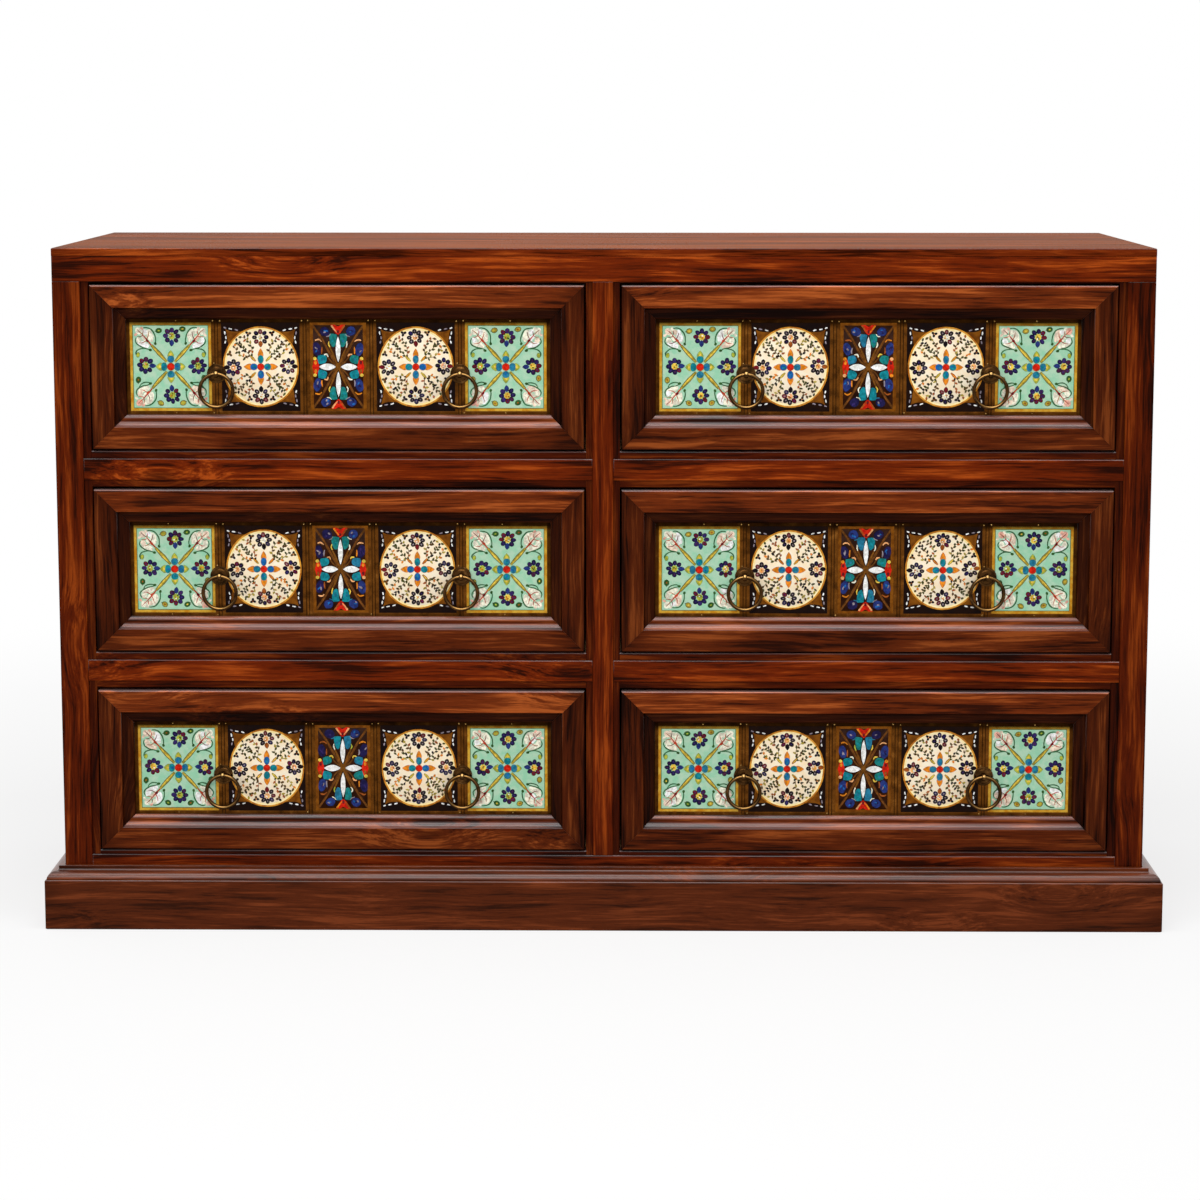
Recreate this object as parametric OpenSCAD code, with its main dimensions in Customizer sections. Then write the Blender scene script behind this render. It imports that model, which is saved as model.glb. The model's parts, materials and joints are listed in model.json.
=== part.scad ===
// A solid-wood chest of six drawers with tiled drawer fronts and ring pulls.
// Millimetres. The origin is the centre of the footprint on the floor,
// +Z is up, and the drawers open towards -Y.

/* [Carcass] */
// Width over the two front posts
body_w = 1452; // [1300:1:1700]
// Depth from the front of the face frame to the back of the posts
body_d = 450; // [440:1:560]
// Thickness of the top board
top_t = 10; // [8:1:25]
// Face width of a post, without its lip
post_w = 37; // [32:0.5:50]
// Depth of a post
post_d = 45; // [40:1:60]
// Face width of the stile between the two columns, without its lips
stile_w = 28; // [24:1:40]
// Thickness of every rail and of the stile
rail_t = 22; // [20:1:26]
// Height of the rail under the top board
top_rail_h = 34; // [28:1:60]
// Height of a rail between two drawers, without its lips
mid_rail_h = 28.5; // [26:0.5:45]
// Width of the set-back lip on the posts and the middle rails
lip_w = 10.5; // [7:0.5:13]
// Width of the set-back lip on each side of the stile
stile_lip_w = 8.5; // [6:0.5:11]
// How far the lip is set back from the face frame
lip_set = 3; // [2:0.5:5]
// Lip under the top rail
top_lip = 2.5; // [2:0.5:6]
// Lip above the bottom rail
bottom_lip = 6; // [4:0.5:9]
// Part of the bottom rail that shows above the moulding
bottom_rail_show = 13.5; // [12.5:0.5:30]
// Bevel along the edges of rails, posts and the top board
edge_ease = 1; // [0.5:0.1:1.5]
// Length of the tenon on each end of a rail
tenon_l = 9; // [5:1:11]

/* [Sides, back and inside] */
// Thickness of the side panels
side_panel_t = 10; // [6:1:12]
// How far the side panels are set in from the posts' outer faces
side_panel_set = 6; // [4:1:9]
// Depth of the grooves that hold the side and back panels
groove_d = 8; // [5:1:11]
// Height of the lower side and back rails above the floor, at their lower edge
low_rail_z = 30; // [20:1:50]
// Height that the lower side rails show above the moulding
side_rail_show = 16; // [10:1:40]
// Thickness of the back panel
back_panel_t = 6; // [4:1:10]
// Thickness of the bottom panel
bottom_t = 12; // [9:1:18]
// Thickness of the upright panel between the two columns
divider_t = 18; // [14:1:24]
// Height of a drawer bearer
bearer_h = 20; // [14:1:26]
// How far a bearer reaches under the inner face of a drawer side
bearer_reach = 6; // [2:1:12]
// Height of the guide beside a drawer
guide_h = 15; // [8:1:30]
// Height of the stop block behind a drawer
stop_h = 12; // [6:1:30]
// Length of the stop block, which the drawer's depth leaves room for
stop_l = 13; // [8:1:60]

/* [Plinth] */
// Height of the plinth boards
plinth_h = 68; // [50:1:100]
// Thickness of the plinth boards, which stand proud of the carcass by it
plinth_t = 24; // [20:1:32]
// Height of the moulding on the plinth boards
mould_h = 16; // [14:1:22]
// Bevel along the plinth boards' outer edges
plinth_ease = 1.5; // [0.5:0.1:3]

/* [Drawers] */
// Height of a drawer front
drawer_h = 218; // [206:1:260]
// Gap between a drawer front and the lip round it
gap = 2; // [1:0.5:3]
// How far a closed drawer front stands proud of the face frame
front_proud = 3; // [0:0.5:6]
// Thickness of the mitred front frame
front_t = 24; // [23:1:30]
// Width of the flat of the mitred frame
frame_w = 30; // [24:1:36]
// Width of the moulding inside the flat
sticking_w = 15.5; // [12:0.5:20]
// Depth of the moulding, from the flat down to the brass plate
sticking_d = 14; // [10:0.5:15]
// Width of the rebate that holds the plate and the board
rebate_w = 10; // [8:0.5:12]
// Rounding along the outer edge of the mitred frame
front_round = 2.5; // [1:0.5:4]
// Height of the drawer sides
box_h = 180; // [120:1:190]
// Thickness of the drawer sides and back
box_side_t = 12; // [9:1:16]
// Thickness of the drawer bottom
box_bottom_t = 6; // [4:1:9]
// How far the drawer back stays below the sides
box_back_drop = 10; // [0:1:30]
// How far each drawer side is set in from the end of the front
box_inset = 2; // [1:0.5:6]
// Clearance between a drawer side and the bearer under it
runner_clear = 0.3; // [0.2:0.1:0.5]

/* [Tiles] */
// Thickness of the brass plate
brass_t = 1.2; // [0.8:0.1:2]
// Thickness of a tile
tile_t = 5; // [3:0.5:6]
// Depth of the tiles' faces below the face of the brass plate
tile_sink = 0.4; // [0.2:0.1:0.6]
// Brass that shows round the row of tiles
tile_margin = 4.7; // [3:0.1:8]
// Width of the brass strip between two tiles
tile_gap = 13.7; // [11:0.1:18]
// Width of the two grooves along each strip, and their depth
strip_groove_w = 0.8; // [0.4:0.1:1.2]
strip_groove_d = 0.5; // [0.2:0.1:0.7]
// Width of the bead left between the two grooves of a strip
strip_bead_w = 3.4; // [2:0.1:5]
// Width of a tile with a round medallion
round_tile_w = 103.5; // [90:0.5:115]
// Width of the middle tile
centre_tile_w = 74.5; // [60:0.5:85]
// Relief of the round medallion and of the rims round the square tiles
medallion_rise = 0.2; // [0.1:0.05:0.2]
// Width of the raised rim round a square tile
tile_rim_w = 3; // [1.5:0.1:5]

/* [Ring pulls] */
// Outer diameter of a ring
ring_d = 49; // [44:0.5:54]
// Diameter of the ring's wire
wire_d = 5; // [3.5:0.1:5.4]
// Distance of the eye's centre from the brass plate
eye_out = 7; // [6.5:0.1:9]
// Height of the eye below the middle of the drawer front
eye_drop = 9; // [0:0.5:10]
// Radius of the ball that holds the ring
eye_r = 5; // [4.8:0.1:6]
// Thickness of the eye between its two flat cheeks
eye_t = 5.4; // [4.4:0.1:6]
// Clearance between the ring's wire and the eye round it
eye_clear = 0.4; // [0.3:0.1:0.6]
// Diameter of the rosette
rosette_d = 26; // [22:0.5:30]
// Height of the rosette's dome
rosette_h = 3.2; // [2:0.1:3.6]
// Diameter of the stem through the board
stem_d = 4; // [3:0.1:5]
// Width across the nut's corners
nut_w = 9; // [8:0.1:12]
// Thickness of the nut
nut_t = 3; // [2:0.1:4]
// Length of stem beyond the nut
stem_end = 1.5; // [0.5:0.1:3]

/* [Hidden] */
// Glue line left between two pieces that are joined
fit = 0.1;
// Side clearance between a drawer side and its guide
guide_clear = 1;
// Clearance between a tile and its window, and between a stem and its hole
tile_fit = 0.2;
stem_fit = 0.15;
// Shoulder above, below, before and behind a tenon
tenon_shoulder = 5;
// Height of the drawer bottom's groove above the sides' lower edge, and its depth
bottom_groove_z = 8;
bottom_groove_d = 5;
// Steps in a quarter of a round moulding
arc_steps = 8;
// Corners of the oval medallion's outline, and its margin to the tile's edge
medallion_steps = 64;
medallion_margin = 1.2;

front_wood = "#5a2411";
frame_wood = "#64290f";
top_wood = "#7a3d22";
plinth_wood = "#50200f";
inner_wood = "#b98a5a";
back_wood = "#8c5f3c";
brass = "#6b4a17";
dark_brass = "#5b4220";
mint = "#8fd6bb";
cream = "#f4ead6";
umber = "#4a2f14";
gold = "#b98a2a";
$fn = 48;

// Levels and widths that follow from the sizes above
base_top = plinth_h + mould_h;
bottom_rail_top = base_top + bottom_rail_show;
pitch = drawer_h + 2 * gap + 2 * lip_w + mid_rail_h;
first_open_z = bottom_rail_top + bottom_lip;
top_rail_z = first_open_z + 2 * pitch + drawer_h + 2 * gap + top_lip;
top_board_z = top_rail_z + top_rail_h;
total_h = top_board_z + top_t;
half_w = body_w / 2;
front_y = (plinth_t - body_d) / 2;
side_rail_top = base_top + side_rail_show;
stile_half = stile_w / 2 + stile_lip_w;
open_w = half_w - post_w - lip_w - stile_half;
drawer_w = open_w - 2 * gap;
window_w = drawer_w - 2 * (frame_w + sticking_w);
window_h = drawer_h - 2 * (frame_w + sticking_w);
board_t = front_t - sticking_d - brass_t;
plate_y = sticking_d - front_proud;
front_back_y = front_t - front_proud;
box_w = drawer_w - 2 * box_inset;
box_d = body_d - post_d - stop_l - front_back_y - runner_clear - fit;
back_y = body_d - rail_t;
side_panel_x = half_w - side_panel_set;
side_tile_w = (window_w - 2 * tile_margin - 4 * tile_gap - 2 * round_tile_w - centre_tile_w) / 2;
tile_h = window_h - 2 * tile_margin;
tile_widths = [side_tile_w, round_tile_w, centre_tile_w, round_tile_w, side_tile_w];
pull_x = centre_tile_w / 2 + 1.5 * tile_gap + round_tile_w;
ring_r = (ring_d - wire_d) / 2;
eye_bore_r = wire_d / 2 + eye_clear;
eye_y = plate_y - eye_out;
stem_l = front_back_y + nut_t + stem_end - plate_y;

ROWS = ["bottom", "middle", "top"];
COLUMNS = ["left", "right"];
SIDES = ["left", "right"];
DRAWER_PIECES = ["drawer_frame", "drawer_box", "drawer_brass_plate", "drawer_tiles", "drawer_pull_mounts"];
CARCASS = [
    "top_board", "top_front_rail", "bottom_front_rail", "mid_rails", "centre_stile",
    "front_posts", "back_posts", "side_rails", "side_panels", "back_panel", "back_rails",
    "bottom_panel", "centre_divider", "drawer_bearers", "drawer_guides", "drawer_stops",
    "plinth_boards", "plinth_moulding"
];

// Lower edge of a row's openings, and left edge of a column's openings
function open_z(row) = first_open_z + row * pitch;
function open_x(column) = column == 0 ? -half_w + post_w + lip_w : stile_half;
function sum_to(list, count) = count == 0 ? 0 : list[count - 1] + sum_to(list, count - 1);
function tile_x(index) = -window_w / 2 + tile_margin + sum_to(tile_widths, index) + index * tile_gap;
// Points of an arc about a centre, from one angle to another
function arc(centre, rx, ry, from, to, steps) =
    [for (i = [0 : steps]) let (a = from + (to - from) * i / steps) centre + [rx * cos(a), ry * sin(a)]];

// A box from its lower to its upper corner
module block(low, high) {
    translate(low) cube(high - low);
}

// Puts the face frame's front at its place, so that Y starts there
module in_carcass() {
    translate([0, front_y, 0]) children();
}

// Both halves of what is mirrored about the middle
module both_sides() {
    children();
    mirror([1, 0, 0]) children();
}

// Runs a profile drawn in Y and Z from one X to another
module along_x(from, to) {
    translate([from, 0, 0]) rotate([90, 0, 90]) linear_extrude(to - from) children();
}

// Runs a profile drawn in X and Z from one Y to another
module along_y(from, to) {
    translate([0, to, 0]) rotate([90, 0, 0]) linear_extrude(to - from) children();
}

// Front band of a rail with its two edges eased
module rail_face(h, depth) {
    polygon([
        [edge_ease, 0], [depth, 0], [depth, h], [edge_ease, h],
        [0, h - edge_ease], [0, edge_ease]
    ]);
}

// A whole rail in section, with its lips below and above
module rail_section(h, lip_below, lip_above) {
    rail_face(h, rail_t);
    translate([lip_set, -lip_below]) square([rail_t - lip_set, h + lip_below + lip_above]);
}

// The tenon on both ends of a rail that spans an opening
module tenons(from, to, z, h, spare) {
    block(
        [from - tenon_l - spare, lip_set + tenon_shoulder - spare, z + tenon_shoulder - spare],
        [to + tenon_l + spare, rail_t - tenon_shoulder + spare, z + h - tenon_shoulder + spare]
    );
}

module mid_rail_tenons(spare) {
    for (row = [1, 2]) for (column = [0, 1])
        tenons(open_x(column), open_x(column) + open_w, open_z(row) - lip_w - mid_rail_h, mid_rail_h, spare);
}

module bottom_rail_tenons(spare) {
    tenons(-half_w + post_w + lip_w, half_w - post_w - lip_w, low_rail_z, bottom_rail_top - low_rail_z, spare);
}

module mid_rails() {
    color(frame_wood) in_carcass() for (row = [1, 2]) for (column = [0, 1]) {
        left = open_x(column) + fit;
        right = open_x(column) + open_w - fit;
        z = open_z(row) - lip_w - mid_rail_h;
        translate([0, 0, z]) {
            along_x(left, right) rail_section(mid_rail_h, lip_w, lip_w);
            along_x(
                column == 0 ? left - lip_w : left - stile_lip_w,
                column == 0 ? right + stile_lip_w : right + lip_w
            ) rail_face(mid_rail_h, lip_set - fit);
        }
        tenons(open_x(column), open_x(column) + open_w, z, mid_rail_h, 0);
    }
}

module top_front_rail() {
    color(frame_wood) in_carcass() {
        translate([0, 0, top_rail_z]) along_x(-half_w, half_w) rail_face(top_rail_h - fit, rail_t);
        for (column = [0, 1])
            block(
                [open_x(column) + fit, lip_set, top_rail_z - top_lip],
                [open_x(column) + open_w - fit, rail_t, top_rail_z + top_lip]
            );
    }
}

module bottom_front_rail() {
    h = bottom_rail_top - low_rail_z;
    color(frame_wood) in_carcass() {
        left = -half_w + post_w + lip_w + fit;
        translate([0, 0, low_rail_z]) {
            along_x(left, -left) rail_face(h, rail_t);
            along_x(left - lip_w, -left + lip_w) rail_face(h, lip_set - fit);
        }
        for (column = [0, 1])
            block(
                [open_x(column) + fit, lip_set, bottom_rail_top - bottom_lip],
                [open_x(column) + open_w - fit, rail_t, bottom_rail_top + bottom_lip]
            );
        bottom_rail_tenons(0);
    }
}

module centre_stile() {
    color(frame_wood) in_carcass() difference() {
        translate([0, 0, bottom_rail_top + fit])
            linear_extrude(top_rail_z - bottom_rail_top - 2 * fit) {
                translate([-stile_w / 2, 0]) polygon([
                    [edge_ease, 0], [stile_w - edge_ease, 0], [stile_w, edge_ease],
                    [stile_w, rail_t], [0, rail_t], [0, edge_ease]
                ]);
                translate([-stile_half, lip_set]) square([2 * stile_half, rail_t - lip_set]);
            }
        mid_rail_tenons(fit);
    }
}

// A panel that fills one side frame, thickened by spare for its grooves
module side_panel(spare) {
    block(
        [-side_panel_x - spare, post_d - groove_d - spare, side_rail_top - groove_d - spare],
        [-side_panel_x + side_panel_t + spare, body_d - post_d + groove_d + spare, top_rail_z + groove_d + spare]
    );
}

module back_panel_blank(spare) {
    middle = back_y + rail_t / 2;
    block(
        [-half_w + post_w - groove_d - spare, middle - back_panel_t / 2 - spare, side_rail_top - groove_d - spare],
        [half_w - post_w + groove_d + spare, middle + back_panel_t / 2 + spare, top_rail_z + groove_d + spare]
    );
}

module front_posts() {
    color(frame_wood) in_carcass() both_sides() difference() {
        linear_extrude(top_rail_z - fit) translate([-half_w, 0]) {
            polygon([
                [edge_ease, 0], [post_w - edge_ease, 0], [post_w, edge_ease],
                [post_w, post_d], [0, post_d], [0, edge_ease]
            ]);
            translate([0, lip_set]) square([post_w + lip_w, post_d - lip_set]);
        }
        mid_rail_tenons(fit);
        bottom_rail_tenons(fit);
        side_panel(fit);
    }
}

module back_posts() {
    color(frame_wood) in_carcass() both_sides() difference() {
        block([-half_w, body_d - post_d, 0], [-half_w + post_w, body_d, top_rail_z - fit]);
        side_panel(fit);
        back_panel_blank(fit);
    }
}

module side_rails() {
    color(frame_wood) in_carcass() both_sides() difference() {
        union() {
            block([-half_w, rail_t + fit, top_rail_z], [-half_w + rail_t, back_y - fit, top_board_z - fit]);
            block(
                [-half_w, post_d + fit, low_rail_z],
                [-half_w + rail_t, body_d - post_d - fit, side_rail_top]
            );
        }
        side_panel(fit);
    }
}

module side_panels() {
    color(frame_wood) in_carcass() both_sides() side_panel(0);
}

module back_rails() {
    color(back_wood) in_carcass() difference() {
        union() {
            block([-half_w, back_y, top_rail_z], [half_w, body_d, top_board_z - fit]);
            block(
                [-half_w + post_w + fit, back_y, low_rail_z],
                [half_w - post_w - fit, body_d, side_rail_top]
            );
        }
        back_panel_blank(fit);
    }
}

module back_panel() {
    color(back_wood) in_carcass() back_panel_blank(0);
}

module top_board() {
    color(top_wood) in_carcass() intersection() {
        along_x(-half_w, half_w) polygon([
            [0, top_board_z], [body_d, top_board_z], [body_d, total_h - edge_ease],
            [body_d - edge_ease, total_h], [edge_ease, total_h], [0, total_h - edge_ease]
        ]);
        along_y(0, body_d) polygon([
            [-half_w, top_board_z], [half_w, top_board_z], [half_w, total_h - edge_ease],
            [half_w - edge_ease, total_h], [-half_w + edge_ease, total_h], [-half_w, total_h - edge_ease]
        ]);
    }
}

module bottom_panel() {
    inner = half_w - rail_t - fit;
    color(inner_wood) in_carcass() difference() {
        block([-inner, rail_t + fit, bottom_rail_top - bottom_t], [inner, back_y - fit, bottom_rail_top]);
        both_sides() {
            block([-half_w, 0, 0], [-half_w + post_w + lip_w + fit, post_d + fit, total_h]);
            block([-half_w, body_d - post_d - fit, 0], [-half_w + post_w + fit, body_d, total_h]);
        }
    }
}

module centre_divider() {
    color(inner_wood) in_carcass()
        block([-divider_t / 2, rail_t + fit, bottom_rail_top + fit], [divider_t / 2, back_y - fit, top_board_z - fit]);
}

// What runs beside each end of each drawer: an outer one on the side panel
// and an inner one on the divider. Children get them as left-hand pieces.
module at_each_runner() {
    for (row = [0 : 2]) both_sides() translate([0, 0, open_z(row)]) {
        $row = row;
        children();
    }
}

module drawer_bearers() {
    inner_edge = box_inset + gap + box_side_t + bearer_reach;
    color(inner_wood) in_carcass() at_each_runner() {
        h = $row == 0 ? bottom_lip - fit : bearer_h;
        wall_x = $row == 0 ? rail_t - half_w : side_panel_t - side_panel_x;
        block(
            [wall_x + fit, post_d + fit, -h],
            [open_x(0) + inner_edge, body_d - post_d - fit, 0]
        );
        block([-stile_half - inner_edge, rail_t + fit, -h], [-divider_t / 2 - fit, back_y - fit, 0]);
    }
}

module drawer_guides() {
    play = box_inset + gap - guide_clear;
    color(inner_wood) in_carcass() at_each_runner() {
        block(
            [-side_panel_x + side_panel_t + fit, post_d + fit, fit],
            [open_x(0) + play, body_d - post_d - fit, guide_h]
        );
        block([-stile_half - play, rail_t + fit, fit], [-divider_t / 2 - fit, back_y - fit, guide_h]);
    }
}

module drawer_stops() {
    from_y = front_back_y + box_d + runner_clear;
    to_y = from_y + stop_l;
    color(inner_wood) in_carcass() at_each_runner() {
        left = open_x(0) + gap + box_inset;
        block([left, from_y, fit], [left + box_side_t, to_y, stop_h]);
        right = -stile_half - gap - box_inset;
        block([right - box_side_t, from_y, fit], [right, to_y, stop_h]);
    }
}

// Cuts a front or side member at 45 degrees where it meets the next at the plinth's corners
module plinth_mitre() {
    corner = half_w + plinth_t;
    linear_extrude(base_top) polygon([
        [-corner + fit, -plinth_t], [corner - fit, -plinth_t], [half_w - fit, 0], [-half_w + fit, 0]
    ]);
}

module plinth_side_mitre() {
    corner = half_w + plinth_t;
    linear_extrude(base_top) polygon([
        [-corner, -plinth_t + fit], [-half_w, fit], [-half_w, body_d], [-corner, body_d]
    ]);
}

// Section of a plinth board, with X outwards from the carcass and Y up
module plinth_board_section() {
    polygon([
        [fit, 0], [plinth_t - plinth_ease, 0], [plinth_t, plinth_ease],
        [plinth_t, plinth_h - plinth_ease], [plinth_t - plinth_ease, plinth_h - fit], [fit, plinth_h - fit]
    ]);
}

// Section of the moulding: a quarter round, a quirk, a cove and a fillet
module plinth_moulding_section() {
    round_w = plinth_t * 0.42;
    round_h = mould_h * 0.6;
    cove_w = plinth_t * 0.12;
    cove_h = mould_h * 0.16;
    quirk = plinth_t * 0.05;
    shelf = plinth_t * 0.9 - round_w;
    polygon(concat(
        [[fit, plinth_h]],
        arc([shelf, plinth_h], round_w, round_h, 0, 90, 2 * arc_steps),
        arc([shelf - quirk, plinth_h + round_h + cove_h], cove_w, cove_h, 270, 180, arc_steps),
        [[shelf - quirk - cove_w, base_top], [fit, base_top]]
    ));
}

// Runs a plinth section along the front and both sides
module plinth_front_run() {
    intersection() {
        plinth_mitre();
        along_x(-half_w - plinth_t, half_w + plinth_t) mirror([1, 0]) children();
    }
}

module plinth_side_run() {
    both_sides() intersection() {
        plinth_side_mitre();
        along_y(-plinth_t, body_d) translate([-half_w, 0]) mirror([1, 0]) children();
    }
}

module plinth_boards() {
    color(plinth_wood) in_carcass() {
        plinth_front_run() plinth_board_section();
        plinth_side_run() plinth_board_section();
    }
}

module plinth_moulding() {
    color(plinth_wood) in_carcass() {
        plinth_front_run() plinth_moulding_section();
        plinth_side_run() plinth_moulding_section();
    }
}

// Moves to the middle of a drawer front, with Y still at the face frame
module at_drawer(row, column) {
    in_carcass() translate([open_x(column) + open_w / 2, 0, open_z(row) + gap + drawer_h / 2]) children();
}

// Section of the mitred frame: X runs from the outer edge inwards, Y from the flat's face back
module frame_section() {
    member = frame_w + sticking_w;
    cove = sticking_w * 0.52;
    cove_d = sticking_d * 0.57;
    quirk = sticking_w * 0.07;
    polygon(concat(
        arc([front_round, front_round], front_round, front_round, 180, 270, arc_steps / 2),
        [[frame_w, 0]],
        arc([frame_w + cove, quirk], cove, cove_d, 180, 90, arc_steps),
        [[frame_w + cove + quirk, quirk + cove_d]],
        arc(
            [frame_w + cove + quirk, sticking_d],
            sticking_w - cove - quirk, sticking_d - quirk - cove_d, 270, 360, arc_steps
        ),
        [[member - rebate_w, sticking_d], [member - rebate_w, front_t], [0, front_t]]
    ));
}

// One lower member of length w for a frame of height h, cut at 45 degrees at both ends
module frame_member(w, h) {
    member = frame_w + sticking_w;
    translate([0, -front_proud, -h / 2]) intersection() {
        along_x(-w / 2, w / 2) mirror([1, -1]) frame_section();
        along_y(-1, front_t + 1) polygon([
            [-w / 2 + fit, 0], [w / 2 - fit, 0], [w / 2 - member - fit, member], [-w / 2 + member + fit, member]
        ]);
    }
}

module drawer_frame() {
    color(front_wood) {
        frame_member(drawer_w, drawer_h);
        rotate([0, 180, 0]) frame_member(drawer_w, drawer_h);
        rotate([0, 90, 0]) frame_member(drawer_h, drawer_w);
        rotate([0, -90, 0]) frame_member(drawer_h, drawer_w);
    }
}

// Holes through the plate and the board for the two stems
module stem_holes(from, to) {
    for (side = [-1, 1])
        translate([side * pull_x, from, -eye_drop]) rotate([-90, 0, 0])
            cylinder(d = stem_d + 2 * stem_fit, h = to - from);
}

// The five tiles' outlines, grown by spare, from one depth to another
module tile_blocks(spare, from, to) {
    for (i = [0 : len(tile_widths) - 1])
        block(
            [tile_x(i) - spare, from, -tile_h / 2 - spare],
            [tile_x(i) + tile_widths[i] + spare, to, tile_h / 2 + spare]
        );
}

// The two grooves along each strip between two tiles
module strip_grooves() {
    from_y = plate_y + fit - 1;
    for (i = [1 : len(tile_widths) - 1]) for (side = [-1, 1]) {
        x = tile_x(i) - tile_gap / 2 + side * (strip_bead_w + strip_groove_w) / 2;
        block(
            [x - strip_groove_w / 2, from_y, -window_h / 2 - rebate_w],
            [x + strip_groove_w / 2, plate_y + fit + strip_groove_d, window_h / 2 + rebate_w]
        );
    }
}

module drawer_brass_plate() {
    x = window_w / 2 + rebate_w - fit;
    z = window_h / 2 + rebate_w - fit;
    color(brass) difference() {
        block([-x, plate_y + fit, -z], [x, plate_y + brass_t, z]);
        tile_blocks(tile_fit, plate_y - 1, plate_y + brass_t + 1);
        stem_holes(plate_y - 1, plate_y + brass_t + 1);
        strip_grooves();
    }
}

module drawer_tiles() {
    face_y = plate_y + tile_sink;
    for (i = [0 : len(tile_widths) - 1]) {
        w = tile_widths[i];
        color(i == 0 || i == 4 ? mint : umber)
            block([tile_x(i), face_y, -tile_h / 2], [tile_x(i) + w, face_y + tile_t, tile_h / 2]);
        if (i % 2 == 0)
            color(gold) difference() {
                block([tile_x(i), face_y - medallion_rise, -tile_h / 2], [tile_x(i) + w, face_y + 1, tile_h / 2]);
                block(
                    [tile_x(i) + tile_rim_w, face_y - 1, -tile_h / 2 + tile_rim_w],
                    [tile_x(i) + w - tile_rim_w, face_y + 2, tile_h / 2 - tile_rim_w]
                );
            }
        if (i == 1 || i == 3)
            color(cream) translate([tile_x(i) + w / 2, 0, 0])
                along_y(face_y - medallion_rise, face_y + 1)
                    polygon(arc(
                        [0, 0], w / 2 - medallion_margin, tile_h / 2 - medallion_margin * 4,
                        0, 360 * (1 - 1 / medallion_steps), medallion_steps - 1
                    ));
    }
}

// The board that backs the tiles, and the drawer's sides, back and bottom
module drawer_box() {
    tile_back = plate_y + tile_sink + tile_t;
    board_y = plate_y + brass_t + fit;
    x = window_w / 2 + rebate_w - fit;
    z = window_h / 2 + rebate_w - fit;
    low = -drawer_h / 2 - gap + runner_clear;
    from_y = front_back_y + fit;
    to_y = front_back_y + box_d;
    floor_z = low + bottom_groove_z;
    color(inner_wood) {
        difference() {
            block([-x, board_y, -z], [x, front_back_y, z]);
            tile_blocks(tile_fit, plate_y, tile_back + fit);
            stem_holes(plate_y, front_back_y + 1);
        }
        both_sides() difference() {
            block([-box_w / 2, from_y, low], [-box_w / 2 + box_side_t, to_y, low + box_h]);
            drawer_floor(floor_z, from_y - 1, to_y - box_side_t + bottom_groove_d, fit);
        }
        difference() {
            block(
                [-box_w / 2 + box_side_t + fit, to_y - box_side_t, low],
                [box_w / 2 - box_side_t - fit, to_y, low + box_h - box_back_drop]
            );
            drawer_floor(floor_z, from_y, to_y - box_side_t + bottom_groove_d, fit);
        }
        drawer_floor(floor_z, from_y, to_y - box_side_t + bottom_groove_d, 0);
    }
}

module drawer_floor(z, from_y, to_y, spare) {
    x = box_w / 2 - box_side_t + bottom_groove_d + spare;
    block([-x, from_y, z - spare], [x, to_y + spare, z + box_bottom_t + spare]);
}

// Half section of a pull's fixed piece, with X as radius and Y as height above the plate:
// the stem behind the plate, the domed rosette, a neck and the ball of the eye
module pull_mount_section() {
    r = rosette_d / 2;
    rim = rosette_h * 0.4;
    neck = eye_r * 0.7;
    polygon(concat(
        [[0, -stem_l], [stem_d / 2, -stem_l], [stem_d / 2, 0], [r, 0], [r, rim * 0.6]],
        arc([r * 0.94, rim * 0.6], r * 0.06, rim * 0.4, 0, 90, arc_steps / 2),
        [[r * 0.8, rim]],
        arc([r * 0.36, rim], r * 0.42, rosette_h - rim, 0, 90, arc_steps),
        [[neck, rosette_h]],
        arc([0, eye_out], eye_r, eye_r, -acos(neck / eye_r), 90, 2 * arc_steps)
    ));
}

module drawer_pull_mounts() {
    nut_y = front_back_y + fit;
    cheek_l = eye_out + eye_r - rosette_h;
    color(dark_brass) for (side = [-1, 1]) translate([side * pull_x, 0, -eye_drop]) {
        difference() {
            translate([0, plate_y, 0]) rotate([90, 0, 0]) rotate_extrude() pull_mount_section();
            translate([-rosette_d, eye_y, 0]) rotate([0, 90, 0]) cylinder(r = eye_bore_r, h = 2 * rosette_d);
            for (cheek = [-1, 1])
                translate([cheek * (eye_t / 2 + eye_r / 2), plate_y - rosette_h - fit - cheek_l / 2, 0])
                    cube([eye_r, cheek_l, 2 * eye_r], center = true);
        }
        translate([0, nut_y, 0]) rotate([-90, 0, 0]) difference() {
            cylinder(d = nut_w, h = nut_t, $fn = 6);
            translate([0, 0, -1]) cylinder(d = stem_d + 2 * stem_fit, h = nut_t + 2);
        }
    }
}

module drawer_ring(side) {
    color(dark_brass) translate([side * pull_x, eye_y, -eye_drop - ring_r]) rotate([90, 0, 0])
        rotate_extrude() translate([ring_r, 0]) circle(d = wire_d);
}

top_board();
top_front_rail();
bottom_front_rail();
mid_rails();
centre_stile();
front_posts();
back_posts();
side_rails();
side_panels();
back_panel();
back_rails();
bottom_panel();
centre_divider();
drawer_bearers();
drawer_guides();
drawer_stops();
plinth_boards();
plinth_moulding();
for (row = [0 : 2]) for (column = [0, 1]) {
    name = str(ROWS[row], "_", COLUMNS[column], "_drawer_");
    at_drawer(row, column) drawer_frame();
    at_drawer(row, column) drawer_box();
    at_drawer(row, column) drawer_brass_plate();
    at_drawer(row, column) drawer_tiles();
    at_drawer(row, column) drawer_pull_mounts();
    at_drawer(row, column) drawer_ring(-1);
    at_drawer(row, column) drawer_ring(1);
}
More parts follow.
